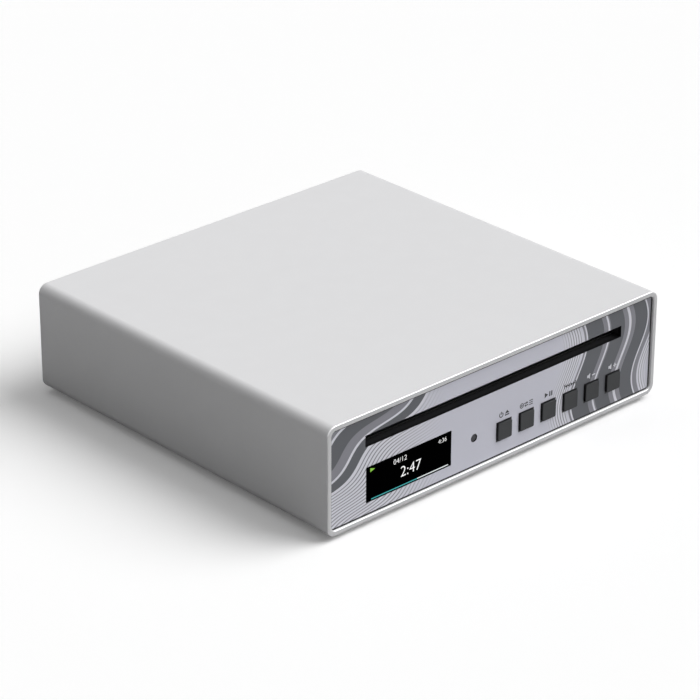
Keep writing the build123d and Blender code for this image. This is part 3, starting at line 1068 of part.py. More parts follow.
with BuildPart() as spindle_motor:
    rod_z(0, SPINDLE_V, (TRAVERSE_H - SPINDLE_MOTOR_HEIGHT, TRAVERSE_H), SPINDLE_MOTOR_RADIUS)
    rod_z(0, SPINDLE_V, (TRAVERSE_H, SPINDLE_BOSS_TOP), SPINDLE_BOSS_RADIUS)
    rod_z(0, SPINDLE_V, (SPINDLE_WELL_H, SPINDLE_BOSS_TOP), SPINDLE_SHAFT_RADIUS + RUNNING,
          Mode.SUBTRACT)
save(spindle_motor, "spindle_motor")

with BuildPart() as turntable:
    rod_z(0, SPINDLE_V, (SPINDLE_WELL_H + TOUCH, PLATTER_H), SPINDLE_SHAFT_RADIUS)
    rod_z(0, SPINDLE_V, (SPINDLE_BOSS_TOP + LOOSE, PLATTER_H), PLATTER_NECK_RADIUS)
    rod_z(0, SPINDLE_V, (PLATTER_H - PLATTER_THICKNESS, PLATTER_H), PLATTER_RADIUS)
    rod_z(0, SPINDLE_V, (PLATTER_H, PLATTER_H + HUB_HEIGHT), HUB_RADIUS)
    chamfer(turntable.faces().sort_by(Axis.Z)[-1].edges(), HUB_CHAMFER)
save(turntable, "turntable")

with BuildPart() as pickup_sled:
    span_box((SLED_INNER_X - SLED_LEFT, SLED_INNER_X + SLED_RIGHT), (SLED_FRONT_V, SLED_REAR_V),
             (SLED_LOW_H, SLED_HIGH_H))
    span_box((SLED_INNER_X - SLED_ARM_HALF, SLED_INNER_X + SLED_ARM_HALF),
             (SLED_REAR_V, SCREW_V + SLED_ARM_HALF / 2), (SLED_ARM_H, SLED_HIGH_H))
    for v in ROD_V:
        rod_x((SLED_INNER_X - SLED_LEFT, SLED_INNER_X + SLED_RIGHT), v, ROD_H,
              ROD_RADIUS + RUNNING, Mode.SUBTRACT)
    rod_x((SLED_INNER_X - SLED_ARM_HALF, SLED_INNER_X + SLED_ARM_HALF), SCREW_V, SCREW_H,
          SCREW_SPINDLE_RADIUS + RUNNING, Mode.SUBTRACT)
    rod_z(SLED_INNER_X, SPINDLE_V, (LENS_LOW_H - LENS_TRAVEL - LOOSE, SLED_HIGH_H),
          LENS_RADIUS + LENS_WELL_GAP, Mode.SUBTRACT)
save(pickup_sled, "pickup_sled")

with BuildPart() as pickup_lens:
    rod_z(SLED_INNER_X, SPINDLE_V, (LENS_LOW_H, LENS_LOW_H + LENS_HEIGHT), LENS_RADIUS)
    fillet(pickup_lens.faces().sort_by(Axis.Z)[-1].edges(), LENS_ROUND)
save(pickup_lens, "pickup_lens")

with BuildPart() as lead_screw:
    rod_x((LEFT_BLOCK_X[0], MOTOR_PLATE_X[1] + SCREW_SEAT), SCREW_V, SCREW_H, SCREW_SPINDLE_RADIUS)
save(lead_screw, "lead_screw")

with BuildPart() as sled_motor:
    rod_x((MOTOR_PLATE_X[1], SLED_MOTOR_END), SCREW_V, SCREW_H, SLED_MOTOR_RADIUS)
    rod_x((MOTOR_PLATE_X[1], MOTOR_PLATE_X[1] + SCREW_SEAT + TOUCH), SCREW_V, SCREW_H,
          SCREW_SPINDLE_RADIUS + RUNNING, Mode.SUBTRACT)
save(sled_motor, "sled_motor")


def lift_slider(name, x):
    """Cam plate outside one of the drive's walls, from x outwards to the right by its thickness."""
    with BuildPart() as slider:
        span_box((x, x + SLIDER_THICKNESS),
                 (LIFT_PIN_V[0] - SLIDER_TRAVEL - SLIDER_END_MARGIN, LIFT_PIN_V[1] + SLIDER_END_MARGIN),
                 (SLIDER_LOW_H, SLIDER_HIGH_H))
        with BuildSketch(side_plane(x)):
            for v in LIFT_PIN_V:
                with Locations((y_at(v - SLIDER_TRAVEL / 2), z_at(LIFT_PIN_H + LIFT / 2))):
                    SlotCenterToCenter(hypot(SLIDER_TRAVEL, LIFT) + 2 * TOUCH,
                                       2 * (LIFT_PIN_RADIUS + TOUCH), rotation=CAM_ANGLE)
            for v in SLIDER_STUD_V:
                with Locations((y_at(v - SLIDER_TRAVEL / 2), z_at(SLIDER_STUD_H))):
                    SlotCenterToCenter(SLIDER_TRAVEL + 2 * TOUCH, 2 * (SLIDER_STUD_RADIUS + TOUCH))
        extrude(amount=SLIDER_THICKNESS, mode=Mode.SUBTRACT)
    save(slider, name)


lift_slider("lift_slider_left", -(DRIVE_HALF + LOOSE + SLIDER_THICKNESS))
lift_slider("lift_slider_right", DRIVE_HALF + LOOSE)

# ================================================================ disc drive: clamp
with BuildPart() as clamp_arm:
    span_box((-CLAMP_ARM_WIDTH / 2, CLAMP_ARM_WIDTH / 2), (SPINDLE_V, CLAMP_PIVOT_V),
             (CLAMP_ARM_H, CLAMP_ARM_H + CLAMP_ARM_SHEET))
    rod_z(0, SPINDLE_V, (CLAMP_ARM_H, CLAMP_ARM_H + CLAMP_ARM_SHEET), CLAMP_ARM_WIDTH / 2)
    rod_x((-CLAMP_ARM_WIDTH / 2, CLAMP_ARM_WIDTH / 2), CLAMP_PIVOT_V, CLAMP_PIVOT_H,
          CLAMP_EYE_RADIUS)
    pin_end = CLAMP_ARM_WIDTH / 2 + LOOSE + CLAMP_EAR_THICKNESS
    rod_x((-pin_end, pin_end), CLAMP_PIVOT_V, CLAMP_PIVOT_H, CLAMP_PIN_RADIUS)
    rod_z(0, SPINDLE_V, (CLAMP_ARM_H, CLAMP_ARM_H + CLAMP_ARM_SHEET),
          CLAMPER_NECK_RADIUS + LOOSE, Mode.SUBTRACT)
save(clamp_arm, "clamp_arm")

with BuildPart() as clamper:
    rod_z(0, SPINDLE_V, (CLAMPER_H, CLAMPER_H + CLAMPER_THICKNESS), CLAMPER_RADIUS)
    rod_z(0, SPINDLE_V, (CLAMPER_H, CLAMPER_CAP_H), CLAMPER_NECK_RADIUS)
    rod_z(0, SPINDLE_V, (CLAMPER_CAP_H, CLAMPER_CAP_H + CLAMPER_CAP_THICKNESS), CLAMPER_CAP_RADIUS)
    rod_z(0, SPINDLE_V, (CLAMPER_H, CLAMPER_H + CLAMPER_RECESS_DEPTH), CLAMPER_RECESS_RADIUS,
          Mode.SUBTRACT)
save(clamper, "clamper")
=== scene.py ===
"""Looks of a slot-loading disc player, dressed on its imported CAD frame: satin sleeve, printed
front, display, keys, rear sockets and the drive inside. Lengths are metres, places are the CAD's.
"""
import json
from functools import partial
from math import pi, radians

import bmesh
import bpy
import numpy as np
from bpy.props import FloatProperty, FloatVectorProperty, IntProperty, PointerProperty, StringProperty
from mathutils import Euler, Matrix, Vector


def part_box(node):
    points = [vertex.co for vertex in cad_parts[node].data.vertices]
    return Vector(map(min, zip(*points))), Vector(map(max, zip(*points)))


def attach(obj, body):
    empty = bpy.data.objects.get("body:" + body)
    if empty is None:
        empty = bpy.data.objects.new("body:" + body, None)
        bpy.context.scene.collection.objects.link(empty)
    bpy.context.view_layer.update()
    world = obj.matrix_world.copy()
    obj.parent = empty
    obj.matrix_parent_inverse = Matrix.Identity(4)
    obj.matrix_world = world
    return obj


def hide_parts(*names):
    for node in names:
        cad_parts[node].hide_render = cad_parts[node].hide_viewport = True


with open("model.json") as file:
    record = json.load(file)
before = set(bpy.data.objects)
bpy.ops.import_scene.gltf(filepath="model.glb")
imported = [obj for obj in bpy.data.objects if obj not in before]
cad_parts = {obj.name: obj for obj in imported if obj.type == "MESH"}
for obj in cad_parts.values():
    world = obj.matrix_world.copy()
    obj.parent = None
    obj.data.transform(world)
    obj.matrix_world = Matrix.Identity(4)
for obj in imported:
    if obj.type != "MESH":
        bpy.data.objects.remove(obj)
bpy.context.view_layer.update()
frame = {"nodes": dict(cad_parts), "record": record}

bl_info = {
    "name": "Slot-loading disc player",
    "version": (1, 0, 0),
    "blender": (4, 5, 0),
    "location": "3D View > Sidebar > Disc player",
    "description": "Builds the visible pieces and finishes of a slot-loading disc player",
    "category": "Object",
}

MM = 0.001
INK = 0.02 * MM  # thickness of printed and lit signs
CORE = 0.02 * MM  # radius at which a fan closes a turned end
NODES = frame["nodes"]
KEYS = ("power", "source", "play", "skip", "volume_down", "volume_up")
SOCKETS = ("rca_left", "rca_right", "coax")
SLOT_COLOUR = {entry["slot"]: tuple(entry["base_color"][:3])
               for entry in frame["record"]["materials"]}
NODE_SLOT = {entry["node"]: entry["material_slot"] for entry in frame["record"]["subparts"]}
# near black for painted shade: the sides of the keys, the panel's edges and rings round the key holes
PAINTED_SHADE_BLACK = (0.010, 0.010, 0.011)


def extent(node):
    """Lowest and highest corner of a CAD node, as two rows."""
    return np.array([list(corner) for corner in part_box(node)])


def middle_of(node):
    """Middle of a CAD node's box."""
    return extent(node).mean(axis=0)


def four(low, high, inset):
    """Places in X and Y that stand in from the four corners of a box by the inset."""
    return [(x, y) for x in (low[0] + inset, high[0] - inset)
            for y in (low[1] + inset, high[1] - inset)]


# ---- surfaces
def eased(points, ease, closed=False, steps=5):
    """Profile with each corner rounded: a quadratic curve that leaves one side at a distance ease
    from the corner, is drawn towards it and joins the next side at the same distance. ease may be
    one number or one per corner."""
    points = np.asarray(points, float)
    corners = slice(None) if closed else slice(1, -1)
    here = points[corners]
    ease = np.broadcast_to(np.asarray(ease, float), len(here))[:, None]

    def on_side(step):
        side = np.roll(points, step, axis=0)[corners] - here
        reach = np.linalg.norm(side, axis=1, keepdims=True)
        return (here + side / reach * np.minimum(ease, reach * 0.48))[:, None]

    t = np.linspace(0, 1, steps)[None, :, None]
    curve = (1 - t) ** 2 * on_side(1) + 2 * t * (1 - t) * here[:, None] + t ** 2 * on_side(-1)
    curve = curve.reshape(-1, 2)
    return curve if closed else np.vstack([points[:1], curve, points[-1:]])


def outlines(half_width, half_height, radius, steps):
    """Rounded rectangles, one row per entry: each corner is a quarter circle about a point that
    stands in from both sides by the radius, and straight sides join the quarters."""
    a, b, r = (np.asarray(v, float)[:, None, None] for v in (half_width, half_height, radius))
    r = np.minimum(r, np.minimum(a, b))
    turn = np.linspace(0, pi / 2, steps)[None, None, :] + np.arange(4)[None, :, None] * pi / 2
    side_x = np.array([1, -1, -1, 1])[None, :, None]
    side_y = np.array([1, 1, -1, -1])[None, :, None]
    across = side_x * (a - r) + r * np.cos(turn)
    up = side_y * (b - r) + r * np.sin(turn)
    return np.stack([across, up], axis=-1).reshape(len(half_width), -1, 2)


def placed(rows, travel, centre, axis):
    """Rows of plane outlines set in space: each row stands square to the axis at its own travel along
    it, with its first measure to the side and its second up, or to the rear when the axis is Z."""
    along = np.broadcast_to(travel[:, None], rows.shape[:2])
    order = {"y": (rows[..., 0], along, rows[..., 1]), "z": (rows[..., 0], rows[..., 1], along)}[axis]
    return np.stack(order, axis=-1) + np.asarray(centre, float)


def turned(path, centre, axis, steps=48):
    """Surface of revolution: each (radius, travel) of the path is swept round the axis."""
    path = np.asarray(path, float)
    angle = np.linspace(0, 2 * pi, steps, endpoint=False)
    ring = np.stack([np.cos(angle), np.sin(angle)], axis=-1)
    return placed(path[:, 0, None, None] * ring[None], path[:, 1], centre, axis)


def carried(size, corner, path, centre, axis, steps=8):
    """Rounded rectangle carried along an axis: each (inset, travel) of the path shrinks it all round
    by the inset."""
    path = np.asarray(path, float)
    inset = path[:, 0]
    rows = outlines(size[0] / 2 - inset, size[1] / 2 - inset, np.maximum(corner - inset, 1e-5), steps)
    return placed(rows, path[:, 1], centre, axis)


def grid_faces(rows, columns, wrapped):
    """Corner numbers of the quads between neighbouring points of a grid whose rows close on
    themselves, and whose last row joins its first where it is wrapped."""
    i = np.arange(rows if wrapped else rows - 1)[:, None]
    here, there = i * columns, (i + 1) % rows * columns
    j = np.arange(columns)[None, :]
    after = (j + 1) % columns
    return np.stack([here + j, here + after, there + after, there + j], axis=-1).reshape(-1, 4)


def fans(columns, start, middle):
    """Corner numbers of the triangles that close a row on one middle point."""
    j = np.arange(columns)
    return np.stack([start + j, start + (j + 1) % columns, np.full(columns, middle)], axis=-1)


def mesh_of(points, faces):
    """Mesh from points and faces, with doubled points merged and the faces turned outwards."""
    mesh = bpy.data.meshes.new("surface")
    mesh.from_pydata(points.tolist(), [], sum((part.tolist() for part in faces), []))
    work = bmesh.new()
    work.from_mesh(mesh)
    bmesh.ops.remove_doubles(work, verts=work.verts, dist=1e-7)
    bmesh.ops.recalc_face_normals(work, faces=work.faces)
    work.to_mesh(mesh)
    work.free()
    return mesh


def corners_of(mesh):
    """Corners of a mesh, as rows."""
    flat = np.zeros(len(mesh.vertices) * 3)
    mesh.vertices.foreach_get("co", flat)
    return flat.reshape(-1, 3)


def thing(name, mesh):
    """Object at the origin that holds the mesh."""
    mesh.name = name
    made = bpy.data.objects.new(name, mesh)
    bpy.context.scene.collection.objects.link(made)
    return made


def skin(name, grids, wrapped=False):
    """Object from grids of points: quads join neighbouring points, and an end row is closed by a fan
    to its middle unless the grid is wrapped."""
    points, faces, start = [], [], 0
    for grid in grids:
        rows, columns = grid.shape[:2]
        last = start + rows * columns
        points.append(grid.reshape(-1, 3))
        faces.append(grid_faces(rows, columns, wrapped) + start)
        if not wrapped:
            points.append(grid[[0, -1]].mean(axis=1))
            faces += [fans(columns, start, last), fans(columns, last - columns, last + 1)]
        start = last if wrapped else last + 2
    return thing(name, mesh_of(np.vstack(points), faces))


def smoothed(piece, sharp=32.0):
    """Smooth shading that breaks at edges sharper than the angle, with large flats kept flat."""
    piece.data.shade_smooth()
    piece.data.set_sharp_from_angle(angle=radians(sharp))
    weights = piece.modifiers.new("flat faces lead", "WEIGHTED_NORMAL")
    weights.mode = "FACE_AREA"
    weights.weight = 80
    weights.keep_sharp = True
    return piece


def threaded(ends, radius, pitch, depth, plain, centre, steps=24, steps_per_pitch=8):
    """Screw along X. The fraction of travel over pitch less the turn is 0 to 1 round each thread; the
    radius falls by the depth where that fraction is far from one half, but not in the plain ends."""
    low, high = ends
    travel = np.linspace(low, high, int((high - low) / pitch * steps_per_pitch))[:, None]
    turn = np.linspace(0, 2 * pi, steps, endpoint=False)[None, :]
    away = abs((travel / pitch - turn / (2 * pi)) % 1.0 - 0.5) * 2
    begun = np.clip((np.minimum(travel - low, high - travel) - plain) / pitch, 0, 1)
    reach = radius - depth * np.clip(away * 2.4 - 0.9, 0, 1) * begun
    return np.stack([np.broadcast_to(travel, reach.shape), centre[0] + reach * np.cos(turn),
                     centre[1] + reach * np.sin(turn)], axis=-1)


def gull_legs(chips, gap, width, pitch):
    """Legs of flat chips, from (low, high) boxes: along each side stand bent strips, each a sloped
    piece and a foot, which are four-cornered outlines carried over the width of the strip."""
    slope = np.array([(0, 0.65), (0, 0.5), (0.38, 0), (0.5, 0.15)]) * MM
    foot = np.array([(0.38, 0), (0.9, 0), (0.9, 0.15), (0.5, 0.15)]) * MM
    grids = []
    for low, high in chips:
        middle, half = (low + high) / 2, (high - low) / 2
        for axis in (0, 1):
            count = int((2 * half[1 - axis] - 2 * gap) / pitch) + 1
            along = (np.arange(count) - (count - 1) / 2) * pitch
            for way in (-1, 1):
                for outline in (slope, foot):
                    block = np.zeros((count, 2, 4, 3))
                    block[..., axis] = middle[axis] + way * (half[axis] + outline[:, 0])
                    block[..., 1 - axis] = middle[1 - axis] + along[:, None, None] \
                        + np.array([-width / 2, width / 2])[:, None]
                    block[..., 2] = low[2] + outline[:, 1]
                    grids.append(block.reshape(-1, 4, 3))
    corners = np.concatenate(grids).reshape(-1, 3)
    start = np.arange(len(corners) // 8)[:, None, None] * 8
    box = np.array([(0, 1, 2, 3), (4, 7, 6, 5), (0, 4, 5, 1), (1, 5, 6, 2), (2, 6, 7, 3),
                    (3, 7, 4, 0)])
    return thing("chip_legs", mesh_of(corners, [(start + box).reshape(-1, 4)]))


def finished(piece, body, slot, *nodes, material=None):
    """Dresses a piece, sets the body that it moves with and hides the nodes that it stands for."""
    piece.data.materials.clear()
    piece.data.materials.append(WARDROBE[slot] if material is None else material)
    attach(piece, body)
    if nodes:
        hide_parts(*nodes)


def built(name, grids, body, slot, *nodes, wrapped=False, sharp=32.0):
    """Smooth piece over grids of points, dressed."""
    finished(smoothed(skin(name, grids, wrapped), sharp), body, slot, *nodes)


def whole_mesh(piece):
    """Mesh of an object with its modifiers applied."""
    bpy.context.view_layer.update()
    return bpy.data.meshes.new_from_object(piece.evaluated_get(bpy.context.evaluated_depsgraph_get()))


def cut(piece, cutters, operation):
    """Joins or cuts the cutters' volumes exactly, and takes the cutters away."""
    for cutter in cutters:
        step = piece.modifiers.new("cut", "BOOLEAN")
        step.operation = operation
        step.solver = "EXACT"
        step.object = cutter
    whole = whole_mesh(piece)
    piece.modifiers.clear()
    piece.data = whole
    for cutter in cutters:
        bpy.data.objects.remove(cutter)


def crosses(places, arm, half, deep):
    """Cutters for crossed recesses: two crossed bars at each place, through the head's surface."""
    path = [(0, -deep), (0, deep)]
    return [skin("recess", [carried(size, 0.05 * MM, path, place, "z", 3)])
            for place in places for size in ((2 * arm, 2 * half), (2 * half, 2 * arm))]


# ---- signs
def bar(x, z, width, height):
    """Outline of a rectangle about a point."""
    a, b = width / 2, height / 2
    return np.array([(x - a, z - b), (x + a, z - b), (x + a, z + b), (x - a, z + b)])


def point(x, z, size, way):
    """Outline of a triangle that points to the right, or to the left where way is -1."""
    reach, half = way * size * 0.42, size / 2
    return np.array([(x - reach, z - half), (x + reach, z), (x - reach, z + half)])


def ring(x, z, radius, thick, start=0, end=360, count=18):
    """Outlines of short four-cornered steps between two radii, from one angle to another."""
    angle = np.linspace(radians(start), radians(end), count + 1)
    way = np.stack([np.cos(angle), np.sin(angle)], axis=-1)
    inner, outer = way * (radius - thick) + (x, z), way * radius + (x, z)
    return list(np.stack([inner[:-1], outer[:-1], outer[1:], inner[1:]], axis=1))


def arrow(x, z):
    """Outlines of the outward arrow over a signal socket: its stem and its head."""
    return [shape * MM + (x, z) for shape in
            (bar(0, -0.55, 0.6, 1.1), np.array([(-1.0, 0), (1.0, 0), (0, 1.3)]))]


def key_symbols():
    """Outlines of the symbols over the keys, in metres, as (dark shapes, light shapes)."""
    over_key = 6.4
    speaker = [bar(-2.05, 0, 0.7, 1.1),
               np.array([(-1.7, -0.55), (-0.8, -1.2), (-0.8, 1.2), (-1.7, 0.55)])]
    power = ring(-1.5, 0, 1.1, 0.4, 125, 415) + [bar(-1.5, 0.7, 0.4, 1.2)]
    eject = [np.array([(0.4, -0.15), (2.6, -0.15), (1.5, 1.1)]), bar(1.5, -0.75, 2.2, 0.5)]
    disc = ring(-2.4, 0, 1.05, 0.36) + ring(-2.4, 0, 0.4, 0.36, count=12)
    change = [bar(-0.6, 0.5, 1.2, 0.36), point(0.48, 0.5, 1.1, 1),
              bar(0.4, -0.5, 1.2, 0.36), point(-0.68, -0.5, 1.1, -1)]
    lines = [bar(2.4, z, 1.9, 0.34) for z in (0, 0.8, -0.8)]
    play = [point(-1.05, 0, 2.1, 1), bar(0.7, 0, 0.6, 2.0), bar(1.75, 0, 0.6, 2.0)]
    skip = [bar(-3.0, 0, 0.4, 1.8), point(-2.15, 0, 1.5, -1), point(-0.85, 0, 1.5, -1),
            point(0.85, 0, 1.5, 1), point(2.15, 0, 1.5, 1), bar(3.0, 0, 0.4, 1.8)]
    less = [bar(1.1, 0, 1.7, 0.48)]
    more = [bar(1.1, 0, 0.48, 1.7), bar(0.55, 0, 0.6, 0.48), bar(1.65, 0, 0.6, 0.48)]
    groups = (power + eject, disc + change + lines, play, skip, speaker + less, speaker + more)
    dark, light = [], []
    for key, group in zip(KEYS, groups):
        x, _, z = middle_of("key_" + key)
        target = light if key.startswith("volume") else dark
        target += [shape * MM + (x, z + over_key * MM) for shape in group]
    return dark, light


def plates(name, shapes, y_face):
    """Thin signs on a face that looks to the front: each outline is a convex polygon in X and Z, and
    is carried from the face to the thickness of the ink in front of it."""
    return skin(name, [np.stack([np.insert(shape, 1, y, axis=1) for y in (y_face - INK, y_face)])
                       for shape in shapes])


def lettering(name, words, middle, tall, y_face):
    """Digits as a thin solid on a face that looks to the front, centred on a point and so tall."""
    curve = bpy.data.curves.new(name, "FONT")
    curve.body = words
    curve.extrude = 0.5
    curve.offset = -0.01
    writer = bpy.data.objects.new(name, curve)
    bpy.context.scene.collection.objects.link(writer)
    mesh = whole_mesh(writer)
    bpy.data.objects.remove(writer)
    bpy.data.curves.remove(curve)
    flat = corners_of(mesh)
    low, high = flat.min(axis=0), flat.max(axis=0)
    scale = tall / (high[1] - low[1])
    across, up = ((flat[:, i] - (low[i] + high[i]) / 2) * scale + middle[i] for i in (0, 1))
    share = (flat[:, 2] - low[2]) / (high[2] - low[2])
    mesh.vertices.foreach_set("co", np.column_stack([across, y_face - share * INK, up]).ravel())
    mesh.update()
    return thing(name, mesh)


# ---- shader arithmetic
def feed(tree, socket, value):
    """Links a field or an output to a socket, or sets anything else as its value."""
    if isinstance(value, Field):
        value = value.socket
    if isinstance(value, bpy.types.NodeSocket):
        tree.links.new(value, socket)
    else:
        socket.default_value = value


def shade(colour, factor):
    """The colour made darker or lighter."""
    return tuple(min(1.0, channel * factor) for channel in colour)


class Field:
    """A number that varies over a surface. Sums, products and comparisons of fields add Math
    nodes."""

    def __init__(self, tree, socket):
        self.tree = tree
        self.socket = socket

    def math(self, operation, *others, clamp=False):
        node = self.tree.nodes.new("ShaderNodeMath")
        node.operation = operation
        node.use_clamp = clamp
        for place, value in enumerate((self, *others)):
            feed(self.tree, node.inputs[place], value)
        return Field(self.tree, node.outputs[0])

    def __add__(self, other):
        return self.math("ADD", other)

    def __sub__(self, other):
        return self.math("SUBTRACT", other)

    def __mul__(self, other):
        return self.math("MULTIPLY", other)

    def __abs__(self):
        return self.math("ABSOLUTE")

    def inverse(self):
        """One less the field."""
        return self * -1 + 1

    def above(self, edge, soft=0.05):
        """1 above the edge and 0 below it, with a narrow ramp between."""
        return self.math("SUBTRACT", edge).math("DIVIDE", soft).math("ADD", 0.5, clamp=True)

    def below(self, edge, soft=0.05):
        return self.above(edge, soft).inverse()

    def between(self, low, high, soft=0.05):
        return self.above(low, soft) * self.below(high, soft)


class Finish:
    """A node material with one Principled shader and helpers for the patterns that feed it."""

    def __init__(self, name, colour, roughness, metallic=0.0, **constants):
        self.material = bpy.data.materials.new(name)
        self.material.use_nodes = True
        self.material.diffuse_color = (*colour, 1)
        self.tree = self.material.node_tree
        self.shader = self.tree.nodes["Principled BSDF"]
        self.colour = colour
        self.fed(Base_Color=(*colour, 1), Roughness=roughness, Metallic=metallic, **constants)
        self.place = self.node("TexCoord").outputs["Object"]

    def fed(self, **values):
        """Feeds sockets of the shader, each named with _ for a space."""
        for name, value in values.items():
            feed(self.tree, self.shader.inputs[name.replace("_", " ")], value)
        return self

    def node(self, kind, **values):
        """New node with its sockets fed."""
        made = self.tree.nodes.new("ShaderNode" + kind)
        for name, value in values.items():
            feed(self.tree, made.inputs[name], value)
        return made

    def axes(self):
        """The X, Y and Z of a point as fields, in millimetres."""
        split = self.node("SeparateXYZ", Vector=self.place)
        return [Field(self.tree, out) * (1 / MM) for out in split.outputs]

    def noise(self, size, detail=3.0, stretch=(1, 1, 1)):
        """Noise whose grains are about size metres across."""
        mapping = self.node("Mapping", Scale=tuple(s / size for s in stretch), Vector=self.place)
        node = self.node("TexNoise", Scale=1.0, Detail=detail, Vector=mapping.outputs[0])
        return Field(self.tree, node.outputs["Fac"])

    def mix(self, amount, first, second):
        """Colour between two colours, by a field."""
        node = self.node("Mix", Factor=amount)
        node.data_type = "RGBA"
        for socket, value in zip(node.inputs[6:8], (first, second)):
            feed(self.tree, socket, (*value, 1) if isinstance(value, tuple) else value)
        return node.outputs[2]

    def cloud(self, amount, field):
        """The base colour made darker and lighter by a field round one half."""
        return self.mix(field, shade(self.colour, 1 - amount), shade(self.colour, 1 + amount))

    def paint(self, colour):
        return self.fed(Base_Color=colour)

    def vary(self, amount, field):
        return self.paint(self.cloud(amount, field))

    def gloss(self, low, high, field):
        """Roughness between low and high, by a field."""
        return self.fed(Roughness=field * (high - low) + low)

    def bump(self, field, depth):
        """Relief of the given depth, in metres."""
        return self.fed(Normal=self.node("Bump", Distance=depth, Height=field).outputs[0])


# ---- finishes
def blasted_aluminium(slot, colour):
    """Bead-blasted and clear-anodised: a fine grain in the relief and in the gloss. The front face
    is painted a little darker, as painted shade, and the rounded edges along its top and bottom are
    more metallic, so they shine brightly."""
    finish = Finish(slot, colour, 0.42, Specular_IOR_Level=0.0)
    grain = finish.noise(0.16 * MM, 2)
    (_, front, bottom), (_, _, top) = extent("housing_sleeve") / MM
    _, y, z = finish.axes()
    edge = 2.6
    level = abs(z - (bottom + top) / 2).above((top - bottom) / 2 - edge, 1.0)
    metal = y.between(front + 0.04, front + 0.42, 0.04) * level * 0.6 + 0.08
    # painted shade: the front face is painted 0.9 times as light as the rest of the sleeve
    face = finish.mix(y.below(front + 0.06, 0.08), finish.cloud(0.015, finish.noise(9 * MM)),
                      shade(colour, 0.9))
    return finish.fed(Metallic=metal).paint(face).gloss(0.38, 0.46, grain).bump(grain, 0.004 * MM)


def grained(slot, colour, roughness, metallic=0.0, cloud=None, gloss=None, grain=None, depth=None,
            stretch=(1, 1, 1), **constants):
    """Surface with a cloud in its colour, given as (amount, size, detail), and one grain, given as
    (size, detail) and drawn out by the stretch. The grain shows in the relief, to the depth, and in
    the gloss, which runs from the roughness plus the first to the roughness plus the second."""
    finish = Finish(slot, colour, roughness, metallic, **constants)
    if cloud:
        finish.vary(cloud[0], finish.noise(cloud[1] * MM, cloud[2]))
    if grain:
        field = finish.noise(grain[0] * MM, grain[1], stretch)
        if gloss:
            finish.gloss(roughness + gloss[0], roughness + gloss[1], field)
        if depth:
            finish.bump(field, depth * MM)
    return finish


def painted_key(slot, colour):
    """Satin grey paint on the face, with the sides behind it painted near black as painted shade."""
    finish = Finish(slot, colour, 0.45, Specular_IOR_Level=0.35)
    grain = finish.noise(0.12 * MM, 2)
    _, y, _ = finish.axes()
    # painted shade: the key's sides behind the face are painted near black
    side = y.above(extent("key_play")[0, 1] / MM + 0.22, 0.06)
    return finish.paint(finish.mix(side, finish.cloud(0.06, finish.noise(2.5 * MM, 2)), PAINTED_SHADE_BLACK)) \
        .gloss(0.40, 0.50, grain).bump(grain, 0.006 * MM)


def felt_cloth(slot, colour):
    """Pressed felt: tangled short fibres that catch the light."""
    finish = Finish(slot, colour, 0.95, Sheen_Weight=0.3, Specular_IOR_Level=0.1)
    fibres = finish.noise(0.18 * MM, 5, (1, 0.35, 1))
    return finish.vary(0.35, fibres).bump(fibres, 0.12 * MM)


def plated_sheet(slot, colour, roughness=0.44, stretch=(1, 12, 12)):
    """Zinc-plated or drawn steel: fine lines of the rolling and a faint cloud in the plating."""
    finish = Finish(slot, shade(colour, 0.7), roughness, 0.85)
    lines = finish.noise(0.9 * MM, 3, stretch)
    return finish.vary(0.16, finish.noise(4 * MM, 4) * 0.6 + lines * 0.4) \
        .gloss(roughness - 0.1, roughness + 0.1, lines).bump(lines, 0.006 * MM)


def platter_plastic(slot, colour):
    """Black moulding with a matt rubber ring let into the platter round the hub."""
    finish = Finish(slot, colour, 0.5, Specular_IOR_Level=0.35)
    middle, top = middle_of("turntable") / MM, extent("turntable")[1, 2] / MM
    x, y, z = finish.axes()
    from_axis = ((x - middle[0]).math("POWER", 2) + (y - middle[1]).math("POWER", 2)).math("SQRT")
    inner, outer, height = 9.2, 13.6, 4.5
    rubber_ring = from_axis.between(inner, outer, 0.06) * z.above(top - height)
    relief = finish.noise(0.5 * MM) * 0.3 + rubber_ring * -1
    return finish.paint(finish.mix(rubber_ring, colour, (0.062, 0.062, 0.064))) \
        .gloss(0.46, 0.85, rubber_ring).bump(relief, 0.08 * MM)


def solder_mask(slot, colour):
    """Circuit board: green mask over straight copper tracks, with tinned pads between them. A track
    or pad is shown where the fraction of a large sine of its row and its cell is high, so it comes
    and goes from cell to cell. Up the board is Y plus Z, so flat and upright boards look alike."""
    finish = Finish(slot, shade(colour, 0.6), 0.36, Specular_IOR_Level=0.35)
    across, y, z = finish.axes()
    up = y + z
    lane_pitch, lane_cell, pad_pitch = 0.9, 6, 2

    def chance(row, cell):
        turn = row.math("FLOOR") * 12.9898 + cell.math("FLOOR") * 78.233
        return (turn.math("SINE") * 437.585).math("FRACT")

    def tracks(side, along, share):
        lane = side * (1 / lane_pitch)
        return lane.math("FRACT").between(0.32, 0.68, 0.1) \
            * chance(lane, along * (1 / lane_cell)).above(1 - share, 0.001)

    def off_centre(side):
        return abs((side * (1 / pad_pitch)).math("FRACT") - 0.5)

    pads = off_centre(across).math("MAXIMUM", off_centre(up)).below(0.22, 0.03) \
        * chance(across * (1 / pad_pitch), up * (1 / pad_pitch)).above(0.86, 0.001)
    copper = (tracks(across, up, 0.4) + tracks(up, across, 0.4)).math("MINIMUM", 1.0)
    lit = tuple(channel * 1.05 + 0.006 for channel in colour)
    tinned = (0.5, 0.49, 0.46)
    return finish.paint(finish.mix(pads, finish.mix(copper, finish.colour, lit), tinned)) \
        .bump(copper, 0.02 * MM)


def lined_film(slot, colour):
    """Flat cable: pale film over a row of parallel tinned conductors."""
    finish = Finish(slot, colour, 0.3)
    wires = finish.axes()[0].math("FRACT").between(0.2, 0.75, 0.15)
    return finish.paint(finish.mix(wires, colour, (0.42, 0.43, 0.45))).bump(wires, 0.03 * MM)


